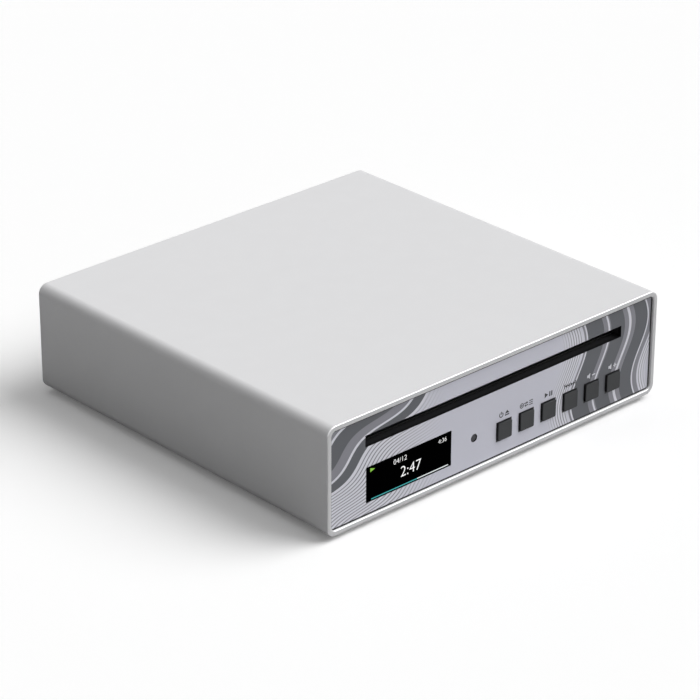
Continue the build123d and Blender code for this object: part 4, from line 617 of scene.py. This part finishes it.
def lit_graphic(name, colour):
    """Lit part of the display: the colour shines by itself, a little uneven as thin film is."""
    finish = Finish(name, colour, 0.4, Emission_Strength=1.0, Specular_IOR_Level=0.0)
    glow = finish.mix(finish.noise(0.5 * MM, 2), shade(colour, 0.94), colour)
    return finish.fed(Emission_Color=glow, Base_Color=(0.01, 0.01, 0.01, 1)).material


def screen_print(name, tone):
    """Thick screen-print ink."""
    return grained(name, tone, 0.5, cloud=(0.06, 0.3, 2), Specular_IOR_Level=0.3).material


def panel_print(slot, ground):
    """Silver-lilac panel with a printed pattern: a slanting wave of ribbons at the left end, an
    upright S of ribbons near the right end, and fine lines that follow both. A ribbon is a range of
    a wave coordinate, which is the distance across the ribbons plus a sine of the distance along.
    The panel's edges and a ring round each key hole are painted near black, as painted shade."""
    settings = bpy.context.scene.disc_player_finish
    dark, mid, light = (tuple(tone) for tone in
                        (settings.print_dark, settings.print_mid, settings.print_light))
    finish = Finish(slot, ground, 0.34, 0.3, Specular_IOR_Level=0.4)
    x, y, z = finish.axes()
    left = ((z - 36) - (x + 61) * 0.5) * 0.9 + ((x + z * 1.5) * 0.11).math("SINE") * 2.2
    right = x - 66.5 - ((z - 23.5) * 0.137).math("SINE") * 4
    near_left = x.below(-40, 26)
    near_right = right.above(-34, 6) * right.below(16, 4)
    colour = finish.mix((near_left + near_right).math("MINIMUM", 1.0),
                        finish.cloud(0.03, finish.noise(0.25 * MM, 2)), light)

    def lines(wave, pitch):
        return (wave * (1 / pitch)).math("FRACT").between(0.3, 0.6, 0.12)

    fine = lines(left, 1.5) * near_left + lines(right, 1.3) * near_right
    colour = finish.mix(fine.math("MINIMUM", 1.0), colour, mid)
    pale = tuple(0.5 * a + 0.5 * b for a, b in zip(ground, light))
    ribbons = (
        (left, -6.2, (-5.2, light), (-1.2, dark), (-0.2, light), (3.6, mid), (9.6, dark),
         (10.6, light), (14.5, mid), (15.3, pale)),
        (right, -26.6, (-25.0, pale), (-24.0, mid), (-23.2, light), (-14.4, dark), (-12.2, mid),
         (-11.3, light), (-10.7, mid), (-3.2, dark), (2.6, mid)),
        (right, -0.9, (0.4, light)),
        (right, 2.6, (9.3, dark), (10.0, light), (12.4, mid), (13.1, pale)),
    )
    for wave, edge, *bands in ribbons:
        for end, tone in bands:
            colour = finish.mix(wave.between(edge, end, 0.12), colour, tone)
            edge = end
    low, high = extent("front_panel") / MM
    # painted shade: the panel's cut face, a border along its edges and a ring round each key hole are
    # painted near black for the shade in the gaps
    border, rim, key_half = 0.34, 0.3, 3.65
    painted_gap_shade = y.above(low[1] + 0.05, 0.02) + abs(x).above((high[0] - low[0]) / 2 - border) \
        + z.above(high[2] - border) + z.below(low[2] + border)
    first, last = middle_of("key_" + KEYS[0]) / MM, middle_of("key_" + KEYS[-1]) / MM
    pitch = (last[0] - first[0]) / (len(KEYS) - 1)
    half = key_half + rim
    column = abs(((x - first[0]) * (1 / pitch) + 0.5).math("FRACT") - 0.5) * pitch
    holes = column.math("MAXIMUM", abs(z - first[2])).below(half) \
        * x.between(first[0] - half, last[0] + half)
    grain = finish.noise(0.2 * MM, 2)
    return finish.paint(finish.mix((painted_gap_shade + holes).math("MINIMUM", 1.0), colour, PAINTED_SHADE_BLACK)) \
        .gloss(0.30, 0.38, grain).bump(grain, 0.003 * MM)


# Finishes that are one grained surface with other numbers.
moulded = partial(grained, roughness=0.45, cloud=(0.08, 6, 2), gloss=(-0.06, 0.06), grain=(0.25, 3),
                  depth=0.01, Specular_IOR_Level=0.35)  # with a fine spark-eroded grain
rubber = partial(grained, roughness=0.7, cloud=(0.25, 1.5, 4), grain=(0.2, 3), depth=0.02,
                 Specular_IOR_Level=0.3)  # matt, with a dusty bloom
lathed = partial(grained, metallic=1.0, gloss=(-0.06, 0.08), grain=(0.12, 2), depth=0.003,
                 stretch=(0.05, 1, 0.05))  # with fine lines across the Y axis
glass = partial(grained, grain=(4, 3), Specular_IOR_Level=0.12)  # polished, with a trace of haze
coated = partial(grained, roughness=0.5, cloud=(0.1, 8, 3), gloss=(-0.08, 0.06), grain=(0.45, 2),
                 depth=0.02, Specular_IOR_Level=0.4)  # powder with a soft orange peel
acetal = partial(grained, roughness=0.35, cloud=(0.05, 3, 3), grain=(0.4, 2), depth=0.005,
                 Subsurface_Weight=0.15, Subsurface_Scale=0.001)  # waxy and a little see-through
cast = partial(grained, roughness=0.5, metallic=0.85, cloud=(0.12, 0.35, 4), gloss=(-0.08, 0.12),
               grain=(0.35, 4), depth=0.03)  # alloy with a grainy skin
insulator = partial(moulded, roughness=0.3)
MAKERS = {
    "sleeve_aluminium": blasted_aluminium, "printed_panel": panel_print, "key_paint": painted_key,
    "felt": felt_cloth, "circuit_board": solder_mask, "ribbon_film": lined_film,
    "window_glass": partial(glass, roughness=0.08, gloss=(-0.024, 0.024), Specular_IOR_Level=0.0),
    "eye_plastic": partial(glass, roughness=0.3, gloss=(-0.09, 0.09)),
    "screen_glass": partial(glass, roughness=0.2, gloss=(-0.06, 0.06)),
    "lens_glass": partial(glass, roughness=0.05, gloss=(-0.015, 0.015)),
    "zinc_steel": plated_sheet, "black_screw": partial(plated_sheet, roughness=0.4),
    "motor_steel": partial(plated_sheet, roughness=0.34, stretch=(12, 1, 12)),
    "turned_brass": partial(lathed, roughness=0.3), "gold_plate": partial(lathed, roughness=0.22),
    "rubber": rubber, "damper_rubber": partial(rubber, roughness=0.6), "rear_paint": coated,
    "gear_plastic": acetal, "sled_casting": cast, "black_plastic": partial(moulded, roughness=0.55),
    "chip_resin": partial(moulded, roughness=0.6, grain=(0.12, 3)),
    "white_insulator": insulator, "red_insulator": insulator, "orange_insulator": insulator,
}


class Wardrobe(dict):
    """Materials by slot name, made when first asked for."""

    def __missing__(self, slot):
        settings = bpy.context.scene.disc_player_finish
        colour = tuple(getattr(settings, slot, SLOT_COLOUR[slot]))
        self[slot] = MAKERS.get(slot, moulded)(slot, colour).material
        return self[slot]


WARDROBE = Wardrobe()


def dress(*nodes):
    """Gives CAD nodes the finish of their record slot."""
    for name in nodes:
        mesh = NODES[name].data
        mesh.materials.clear()
        mesh.materials.append(WARDROBE[NODE_SLOT[name]])


# ---- settings
def kind(make, **fixed):
    """Way to declare settings of one kind, each by its name, its description and its default."""
    return lambda name, description, default: make(name=name, description=description,
                                                   default=default, **fixed)


a_text, a_number = kind(StringProperty), kind(FloatProperty)
a_colour = kind(FloatVectorProperty, subtype="COLOR", size=3, min=0, max=1)
an_angle = kind(FloatProperty, subtype="ANGLE", unit="ROTATION")
a_length = kind(FloatProperty, subtype="DISTANCE", unit="LENGTH")
a_share = kind(FloatProperty, subtype="FACTOR", min=0, max=1)


class DISCPLAYER_PG_finish(bpy.types.PropertyGroup):
    """Colours of the case. A colour named after a slot takes the place of the record's."""

    sleeve_aluminium: a_colour("Sleeve", "Anodised sleeve", SLOT_COLOUR["sleeve_aluminium"])
    printed_panel: a_colour("Panel ground", "Ground of the front panel", (0.59, 0.592, 0.665))
    print_dark: a_colour("Dark print", "Darkest ribbons of the print", (0.107, 0.112, 0.125))
    print_mid: a_colour("Middle print", "Middle ribbons of the print", (0.24, 0.24, 0.27))
    print_light: a_colour("Light print", "Lightest ribbons of the print", (0.70, 0.70, 0.76))
    key_paint: a_colour("Keys", "Paint of the key caps", (0.017, 0.0185, 0.0205))
    rear_paint: a_colour("Rear panel", "Coat of the rear panel", SLOT_COLOUR["rear_paint"])
    window_glass: a_colour("Window", "Glass over the display", (0.0006, 0.0006, 0.0007))
    eye_plastic: a_colour("Remote eye", "Lens of the remote receiver", (0.085, 0.085, 0.092))


class DISCPLAYER_PG_display(bpy.types.PropertyGroup):
    """What the display shows."""

    elapsed: a_text("Elapsed", "Large digits", "2:47")
    track: a_text("Track", "Small digits over the large ones", "04/12")
    total: a_text("Total", "Small digits at the right", "4:36")
    played: a_share("Played", "Filled share of the bar", 0.593)
    digit_colour: a_colour("Digits", "Colour of the digits", (1.0, 1.0, 1.0))
    bar_colour: a_colour("Bar", "Filled part of the bar", (0.06, 0.36, 0.36))
    rest_colour: a_colour("Rest", "Empty part of the bar", (0.75, 0.8, 0.8))
    sign_colour: a_colour("Play sign", "Colour of the play sign", (0.25, 0.56, 0.07))


class DISCPLAYER_PG_shape(bpy.types.PropertyGroup):
    """Sizes of the small forms that finish the CAD pieces."""

    rim_round: a_length("Rim rounding", "Rounding of the sleeve's rims", 0.45 * MM)
    key_round: a_length("Key rounding", "Rounding of a key cap's edge", 0.3 * MM)
    corner_steps: IntProperty(name="Corner steps", description="Facets in a quarter of a corner",
                              default=14, min=4, max=40)


class DISCPLAYER_PG_stage(bpy.types.PropertyGroup):
    """Camera, lamp and floor."""

    camera_place: FloatVectorProperty(name="Camera", description="Place of the camera",
                                      subtype="TRANSLATION", unit="LENGTH", size=3,
                                      default=(-0.73022, -0.78717, 0.54059))
    azimuth: an_angle("Azimuth", "Turn of the view about the upright", radians(-43.061))
    elevation: an_angle("Elevation", "Downward tilt of the view", radians(25.986))
    roll: an_angle("Roll", "Turn of the view about its own line", radians(0.157))
    lens: a_number("Lens", "Focal length on a 36 mm sensor", 162.14)
    key_light: a_number("Key light", "Strength of the soft sun", 2.56)
    key_spread: an_angle("Key spread", "Angle that the soft sun fills", radians(48))
    key_towards: FloatVectorProperty(name="Key direction", description="Way from the part to the sun",
                                     subtype="DIRECTION", size=3, default=(0.56, -0.44, 0.78))
    room_light: a_number("Room light", "Strength of the even light", 0.02)
    top_light: a_number("Top light", "Strength of the light from overhead", 0.68)
    floor_white: a_share("Floor white", "Reflectance of the floor as seen", 0.985)
    floor_bounce: a_share("Floor bounce", "Reflectance of the floor as the part meets it", 0.4)
    floor_lift: a_number("Floor lift", "White added to the seen floor", 0.105)


# ---- operators
class DISCPLAYER_OT_sleeve(bpy.types.Operator):
    """Extruded sleeve with rounded rims, screw ports and floor holes"""

    bl_idname = "discplayer.sleeve"
    bl_label = "Sleeve"

    def execute(self, context):
        shape = context.scene.disc_player_shape
        low, high = extent("housing_sleeve")
        wall, corner, port, port_corner, bite, bore, over = (
            size * MM for size in (2.0, 4.0, 6.4, 0.6, 0.5, 1.25, 1.0))
        screw_hole, screw_head, wall_hole, wall_half = (size * MM for size in (1.5, 2.7, 1.65, 37.5))
        width, depth, height = high - low
        middle = middle_of("housing_sleeve")
        path = eased([(0, 0), (0, depth), (wall, depth), (wall, 0)], shape.rim_round, closed=True)
        shell = skin("sleeve", [carried((width, height), corner, path, (middle[0], low[1], middle[2]),
                                        "y", shape.corner_steps)], wrapped=True)
        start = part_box("dust_felts")[0].y
        span = extent("rear_panel")[0, 1] - start
        ports, bores = [], []
        for sx in (-1, 1):
            for sz in (-1, 1):
                x = middle[0] + sx * (width / 2 - wall - port / 2)
                z = middle[2] + sz * (height / 2 - wall - port / 2)
                centre = (x + sx * bite / 2, start, z + sz * bite / 2)
                ports.append(skin("port", [carried((port + bite, port + bite), port_corner,
                                                   [(0, 0), (0, span)], centre, "y", 4)]))
                bores.append(skin("bore", [turned([(bore, -over), (bore, span + over)],
                                                  (x, start, z), "y", 24)]))
        for radius, spots in ((screw_hole, four(*extent("foot_screws"), screw_head)),
                              (wall_hole, four(middle, middle, -wall_half))):
            path = [(radius, low[2] - over), (radius, low[2] + wall + over)]
            bores += [skin("bore", [turned(path, (x, y, 0), "z", 32)]) for x, y in spots]
        cut(shell, ports, "UNION")
        cut(shell, bores, "DIFFERENCE")
        finished(smoothed(shell), "case", "sleeve_aluminium", "housing_sleeve")
        return {"FINISHED"}


class DISCPLAYER_OT_front(bpy.types.Operator):
    """Printed front panel, its frame, the felt lips, a black ring of painted shade in the gap round
    the panel, and the symbols over the keys
    """

    bl_idname = "discplayer.front"
    bl_label = "Front panel"

    def execute(self, context):
        dress("front_panel", "front_frame", "dust_felts")
        low, high = extent("front_panel")
        x, _, z = middle_of("front_panel")
        face, back = low[1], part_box("front_frame")[0].y
        gap, corner, edge = 0.35 * MM, 2.0 * MM, 0.06 * MM
        # painted shade: a thin black ring fills the gap between the panel and the sleeve, standing
        # for the shade in that gap
        path = eased([(0, face), (0, back), (gap, back), (gap, face)], edge, closed=True)
        width, _, height = high - low + 2 * gap
        built("frame_lip", [carried((width, height), corner, path, (x, 0, z), "y")], "case",
              "black_plastic", wrapped=True)
        dark, light = key_symbols()
        for name, shapes, tone in (("key_symbols_dark", dark, (0.05, 0.05, 0.055)),
                                   ("key_symbols_light", light, (0.75, 0.75, 0.8))):
            finished(plates(name, shapes, face), "case", "printed_panel",
                     material=screen_print(name, tone))
        return {"FINISHED"}


class DISCPLAYER_OT_keys(bpy.types.Operator):
    """Key caps with rounded edges, each with its flange and post, and the switches behind"""

    bl_idname = "discplayer.keys"
    bl_label = "Keys"

    def execute(self, context):
        round_edge = context.scene.disc_player_shape.key_round
        size, corner, flange, reach, post, base = (v * MM for v in (7.0, 0.6, 0.8, 0.7, 1.4, 2.0))
        dish, slope, brim, post_round = (v * MM for v in (0.03, 0.02, 0.15, 0.2))
        for key in KEYS:
            (_, face, _), (_, tip, _) = extent("key_" + key)
            x, _, z = middle_of("key_" + key)
            back = tip - base
            dished = [(size / 2 - 0.05 * MM, face + dish)]
            cap = eased([(size / 2 - 0.3 * MM, face + slope), (brim, face), (0, face),
                         (0, back - flange)], [0.2 * MM, round_edge])
            rim = [(-reach, back - flange), (-reach, back)]
            rows = carried((size, size), corner, np.vstack([dished, cap, rim]), (x, 0, z), "y", 6)
            angle = np.unwrap(np.arctan2(rows[-1, :, 2] - z, rows[-1, :, 0] - x))
            way = np.stack([np.cos(angle), np.zeros(len(angle)), np.sin(angle)], axis=-1)
            stem = np.array([(post, back), (post, tip - post_round), (post - post_round, tip)])
            radius, travel = stem[:, 0, None, None], stem[:, 1, None, None]
            rings = way * radius + np.array([0, 1, 0]) * travel + np.array([x, 0, z])
            built("key_cap_" + key, [np.concatenate([rows, rings])], "key_" + key, "key_paint",
                  "key_" + key)
        dress("key_switches", "key_board")
        return {"FINISHED"}


class DISCPLAYER_OT_display(bpy.types.Operator):
    """Black window and the lit signs on it, with the screen behind"""

    bl_idname = "discplayer.display"
    bl_label = "Display"

    def execute(self, context):
        shown = context.scene.disc_player_display
        (start, face, _), (end, back, _) = extent("display_window")
        x, _, z = middle_of("display_window")
        width, height, corner, brim, edge = (v * MM for v in (41.6, 13.9, 0.3, 1.0, 0.12))
        reach = (end - start) / 2 - width / 2
        step = back - brim
        path = np.vstack([[(6.5 * MM, face)], eased([(0.5 * MM, face), (0, face), (0, step)], edge),
                          [(-reach, step), (-reach, back)]])
        built("display_glass", [carried((width, height), corner, path, (x, 0, z), "y", 4)], "case",
              "window_glass", "display_window")
        origin = np.array([start + reach, extent("display_screen")[0, 2]])
        digits = lit_graphic("lit_digits", tuple(shown.digit_colour))
        for name, words, place, tall in (("elapsed_digits", shown.elapsed, (21.9, 6.2), 4.1),
                                         ("track_digits", shown.track, (16.6, 11.3), 2.0),
                                         ("total_digits", shown.total, (37.4, 11.6), 1.7)):
            text = lettering(name, words, origin + np.array(place) * MM, tall * MM, face)
            finished(text, "case", "screen_glass", material=digits)
        first, last, level, thick = 2.6, 40.4, 0.71, 0.42
        filled = first + (last - first) * shown.played
        done = bar((first + filled) / 2, level, filled - first, thick)
        rest = bar((filled + last) / 2, level, last - filled, thick)
        play = np.array([(2.1, 11.5), (4.4, 12.3), (2.1, 13.1)])
        for name, outline, glow, colour in (("bar_filled", done, "lit_bar", shown.bar_colour),
                                            ("bar_rest", rest, "lit_rest", shown.rest_colour),
                                            ("play_sign", play, "lit_sign", shown.sign_colour)):
            finished(plates(name, [outline * MM + origin], face), "case", "screen_glass",
                     material=lit_graphic(glow, tuple(colour)))
        dress("display_screen")
        return {"FINISHED"}


class DISCPLAYER_OT_eye(bpy.types.Operator):
    """Smoked lens of the remote receiver, a low dome on a stem"""

    bl_idname = "discplayer.eye"
    bl_label = "Remote eye"

    def execute(self, context):
        low, high = extent("remote_eye")
        x, _, z = middle_of("remote_eye")
        face, flange = low[1], (high[0] - low[0]) / 2
        radius, rise, start, end = 1.5 * MM, 0.3 * MM, face + 1.3 * MM, face + 2.3 * MM
        turn = np.linspace(0.02, 1, 8) * pi / 2
        dome = np.column_stack([radius * np.sin(turn), face + rise * (1 - np.cos(turn))])
        path = np.vstack([dome, [(radius, start), (flange, start), (flange, end), (radius, end),
                                 (radius, high[1])]])
        built("eye_lens", [turned(path, (x, 0, z), "y", 40)], "case", "eye_plastic", "remote_eye")
        return {"FINISHED"}


class DISCPLAYER_OT_feet(bpy.types.Operator):
    """Rubber feet with a rounded edge, and their screws with a crossed recess"""

    bl_idname = "discplayer.feet"
    bl_label = "Feet"

    def execute(self, context):
        low, high = extent("feet")
        radius, pocket, deep, hole, head, shank = (v * MM for v in (6.0, 3.0, 1.3, 1.5, 2.7, 1.5))
        top = high[2]
        spots = four(low, high, radius)
        path = eased([(hole, top), (radius, top), (radius, 0), (pocket, 0), (pocket, deep),
                      (hole, deep)], np.array([0.02, 0.1, 0.5, 0.2, 0.05, 0.02]) * MM, closed=True)
        built("rubber_feet", [turned(path, (x, y, 0), "z", 64) for x, y in spots], "case", "rubber",
              "feet", wrapped=True)
        start, end = extent("foot_screws")[:, 2]
        path = eased([(CORE, start), (head, start), (head, deep), (shank, deep), (shank, end),
                      (CORE, end)], np.array([0.35, 0.1, 0.05, 0.3]) * MM)
        screws = skin("foot_screw_set", [turned(path, (x, y, 0), "z", 40) for x, y in spots])
        recesses = crosses([(x, y, start) for x, y in spots], arm=1.3 * MM, half=0.35 * MM,
                           deep=0.7 * MM)
        cut(screws, recesses, "DIFFERENCE")
        finished(smoothed(screws), "case", "zinc_steel", "foot_screws")
        return {"FINISHED"}


class DISCPLAYER_OT_rear(bpy.types.Operator):
    """Coated rear panel, its printed rings and signs, and the case screws"""

    bl_idname = "discplayer.rear"
    bl_label = "Rear panel"

    def execute(self, context):
        dress("rear_panel", "case_screws", "jack_block", "optical_socket", "optical_shutter",
              "usb_tongue")
        over_socket, over_power, radius, line = (v * MM for v in (8.6, 4.6, 6.3, 0.3))
        legends = []
        for name in SOCKETS:
            x, _, z = middle_of("insulator_" + name)
            legends += ring(x, z, radius, line, count=48) + arrow(x, z + over_socket)
        x, _, z = middle_of("optical_socket")
        legends += arrow(x, z + over_socket)
        x, _, z = middle_of("usb_socket")
        legends += [shape * MM + (x, z + over_power) for shape in
                    [bar(0, 0.4, 3.2, 0.3)] + [bar(step, -0.4, 0.8, 0.3) for step in (-1.2, 0, 1.2)]]
        printed = plates("rear_signs", legends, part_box("rear_panel")[1].y + INK)
        finished(printed, "case", "rear_paint", material=screen_print("rear_ink", (0.7, 0.7, 0.7)))
        return {"FINISHED"}


class DISCPLAYER_OT_jacks(bpy.types.Operator):
    """Plated jack barrels and their coloured insulators, and the power socket's shell"""

    bl_idname = "discplayer.jacks"
    bl_label = "Jacks"

    def execute(self, context):
        tail, end = extent("jack_shells")[:, 1]
        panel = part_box("rear_panel")[1].y
        barrel, collar, wall, hole, floor = (v * MM for v in (4.15, 4.65, 0.9, 1.6, 1.0))
        bore = barrel - wall
        path = eased([(collar, tail), (collar, panel), (barrel, panel), (barrel, end), (bore, end),
                      (bore, tail)], np.array([0.05, 0.15, 0.05, 0.3, 0.3, 0.05]) * MM, closed=True)
        barrels = []
        for name in SOCKETS:
            node = "insulator_" + name
            x, _, z = middle_of(node)
            barrels.append(turned(path, (x, 0, z), "y", 64))
            start, face = extent(node)[:, 1]
            plug = eased([(CORE, start), (bore - CORE, start), (bore - CORE, face), (hole, face),
                          (hole, start + floor), (CORE, start + floor)],
                         np.array([0.05, 0.1, 0.35, 0.02]) * MM)
            built(node + "_moulding", [turned(plug, (x, 0, z), "y")], "case", NODE_SLOT[node], node)
        built("jack_barrels", barrels, "case", "gold_plate", "jack_shells", wrapped=True)
        dress("usb_socket")
        return {"FINISHED"}


class DISCPLAYER_OT_boards(bpy.types.Operator):
    """Circuit boards, their chips, sockets, flat cables, posts and screws"""

    bl_idname = "discplayer.boards"
    bl_label = "Boards"

    def execute(self, context):
        dress("main_board", "servo_board", "board_chips", "board_sockets", "ribbon_cables",
              "mounting_posts", "inner_screws", "drive_dampers")
        corners_per_chip = 24
        chips = corners_of(NODES["board_chips"].data).reshape(-1, corners_per_chip, 3)
        legs = gull_legs(zip(chips.min(axis=1), chips.max(axis=1)), gap=1 * MM, width=0.35 * MM,
                         pitch=0.8 * MM)
        finished(legs, "case", "zinc_steel")
        return {"FINISHED"}


class DISCPLAYER_OT_drive(bpy.types.Operator):
    """Fixed pieces of the disc drive"""

    bl_idname = "discplayer.drive"
    bl_label = "Drive"

    def execute(self, context):
        dress("drive_base", "drive_cover", "disc_guide", "loading_motor", "drive_belt")
        return {"FINISHED"}


class DISCPLAYER_OT_loading(bpy.types.Operator):
    """Feed roller, its arm, gears and pulley, and the lift sliders"""

    bl_idname = "discplayer.loading"
    bl_label = "Loading"

    def execute(self, context):
        dress("roller_arm", "roller_shaft", "feed_roller", "roller_gear", "idler_gear",
              "motor_pulley", "lift_slider_left", "lift_slider_right")
        return {"FINISHED"}


class DISCPLAYER_OT_traverse(bpy.types.Operator):
    """Traverse with turntable, pickup and its screw, and the clamp over it"""

    bl_idname = "discplayer.traverse"
    bl_label = "Traverse and clamp"

    def execute(self, context):
        dress("traverse_frame", "guide_rods", "spindle_motor", "sled_motor", "turntable",
              "pickup_sled", "clamp_arm", "clamper")
        platter = platter_plastic("platter_plastic", SLOT_COLOUR["black_plastic"])
        NODES["turntable"].data.materials[0] = platter.material
        low, high = extent("lead_screw")
        _, *axis = middle_of("lead_screw")
        pitch, depth, plain = 1.2 * MM, 0.3 * MM, 3 * MM
        grid = threaded((low[0], high[0]), axis[0] - low[1], pitch, depth, plain, axis)
        built("lead_screw_thread", [grid], "lead_screw", "zinc_steel", "lead_screw", sharp=50)
        low, high = extent("pickup_lens")
        x, y, _ = middle_of("pickup_lens")
        flat, rise = 1.6 * MM, 0.5 * MM
        radius, step = x - low[0], high[2] - rise
        turn = np.linspace(0.02, pi / 2, 12)[::-1]
        path = np.vstack([[(radius, low[2])],
                          eased([(radius, low[2]), (radius, step), (flat, step)], 0.15 * MM)[1:],
                          np.column_stack([flat * np.sin(turn), step + rise * np.cos(turn)])[1:]])
        built("lens_dome", [turned(path, (x, y, 0), "z", 40)], "pickup_lens", "lens_glass",
              "pickup_lens")
        return {"FINISHED"}


class DISCPLAYER_OT_stage(bpy.types.Operator):
    """Pale floor, even room light, one soft sun and the camera"""

    bl_idname = "discplayer.stage"
    bl_label = "Stage"

    def execute(self, context):
        scene = context.scene
        setup = scene.disc_player_stage
        scene.view_settings.view_transform = "Standard"
        self.camera(scene, setup)
        self.room(scene, setup)
        self.floor(setup)
        lamp = bpy.data.lights.new("key_sun", "SUN")
        lamp.energy = setup.key_light
        lamp.angle = setup.key_spread
        sun = bpy.data.objects.new("key_sun", lamp)
        sun.rotation_euler = Vector(setup.key_towards).to_track_quat("Z", "Y").to_euler()
        scene.collection.objects.link(sun)
        return {"FINISHED"}

    def camera(self, scene, setup):
        level = Euler((pi / 2 - setup.elevation, 0, setup.azimuth)).to_matrix()
        lens = bpy.data.cameras.new("camera")
        lens.lens = setup.lens
        lens.sensor_width = 36
        lens.clip_start = 0.01
        lens.clip_end = 60
        camera = bpy.data.objects.new("camera", lens)
        camera.rotation_euler = (level @ Matrix.Rotation(setup.roll, 3, "Z")).to_euler()
        camera.location = setup.camera_place
        scene.collection.objects.link(camera)
        scene.camera = camera

    def seen(self, tree):
        """1 for rays that show the room as itself, straight from the camera, in metal or in glass."""
        path = tree.nodes.new("ShaderNodeLightPath")
        straight, mirrored, through = (Field(tree, path.outputs[name]) for name in
                                       ("Is Camera Ray", "Is Glossy Ray", "Is Transmission Ray"))
        return (straight + mirrored + through).math("MINIMUM", 1.0)

    def room(self, scene, setup):
        world = bpy.data.worlds.new("room")
        scene.world = world
        world.use_nodes = True
        tree = world.node_tree
        shader = tree.nodes["Background"]
        shader.inputs["Color"].default_value = (1, 1, 1, 1)
        way = tree.nodes.new("ShaderNodeTexCoord")
        split = tree.nodes.new("ShaderNodeSeparateXYZ")
        feed(tree, split.inputs[0], way.outputs["Generated"])
        height = Field(tree, split.outputs[2]).math("MAXIMUM", 0).math("POWER", 3)
        dome = height * setup.top_light + setup.room_light
        seen = self.seen(tree)
        feed(tree, shader.inputs["Strength"], dome * seen.inverse() + seen)

    def floor(self, setup):
        reach = 8.0
        corners = [(-reach, -reach, 0), (reach, -reach, 0), (reach, reach, 0), (-reach, reach, 0)]
        mesh = bpy.data.meshes.new("floor")
        mesh.from_pydata(corners, [], [(0, 1, 2, 3)])
        floor = thing("floor", mesh)
        material = bpy.data.materials.new("floor_paper")
        material.use_nodes = True
        tree = material.node_tree
        seen = self.seen(tree)
        tone = seen * (setup.floor_white - setup.floor_bounce) + setup.floor_bounce
        grey = tree.nodes.new("ShaderNodeCombineColor")
        for channel in grey.inputs:
            feed(tree, channel, tone)
        for name, value in (("Base Color", grey.outputs[0]), ("Roughness", 1.0),
                            ("Specular IOR Level", 0.0), ("Emission Color", (1, 1, 1, 1)),
                            ("Emission Strength", seen * setup.floor_lift)):
            feed(tree, tree.nodes["Principled BSDF"].inputs[name], value)
        mesh.materials.append(material)


class DISCPLAYER_PT_panel(bpy.types.Panel):
    """Buttons for each group of pieces, with its settings"""

    bl_idname = "DISCPLAYER_PT_panel"
    bl_label = "Disc player"
    bl_space_type = "VIEW_3D"
    bl_region_type = "UI"
    bl_category = "Disc player"

    def draw(self, context):
        for group, label in GROUPS:
            box = self.layout.box()
            box.label(text=label)
            settings = getattr(context.scene, group)
            for name in settings.__annotations__:
                box.prop(settings, name)
        for operator in OPERATORS:
            self.layout.operator(operator.bl_idname)


GROUPS = (("disc_player_finish", "Finish"), ("disc_player_display", "Display"),
          ("disc_player_shape", "Shape"), ("disc_player_stage", "Stage"))
SETTINGS = (DISCPLAYER_PG_finish, DISCPLAYER_PG_display, DISCPLAYER_PG_shape, DISCPLAYER_PG_stage)
OPERATORS = (DISCPLAYER_OT_sleeve, DISCPLAYER_OT_front, DISCPLAYER_OT_keys, DISCPLAYER_OT_display,
             DISCPLAYER_OT_eye, DISCPLAYER_OT_feet, DISCPLAYER_OT_rear, DISCPLAYER_OT_jacks,
             DISCPLAYER_OT_boards, DISCPLAYER_OT_drive, DISCPLAYER_OT_loading, DISCPLAYER_OT_traverse,
             DISCPLAYER_OT_stage)


def register():
    for cls in SETTINGS + OPERATORS + (DISCPLAYER_PT_panel,):
        bpy.utils.register_class(cls)
    for (group, _), settings in zip(GROUPS, SETTINGS):
        setattr(bpy.types.Scene, group, PointerProperty(type=settings))


def unregister():
    for group, _ in GROUPS:
        delattr(bpy.types.Scene, group)
    for cls in reversed(SETTINGS + OPERATORS + (DISCPLAYER_PT_panel,)):
        bpy.utils.unregister_class(cls)


def main():
    """Builds every piece and the stage."""
    register()
    for operator in OPERATORS:
        family, action = operator.bl_idname.split(".")
        getattr(getattr(bpy.ops, family), action)()


if __name__ == "__main__":
    main()
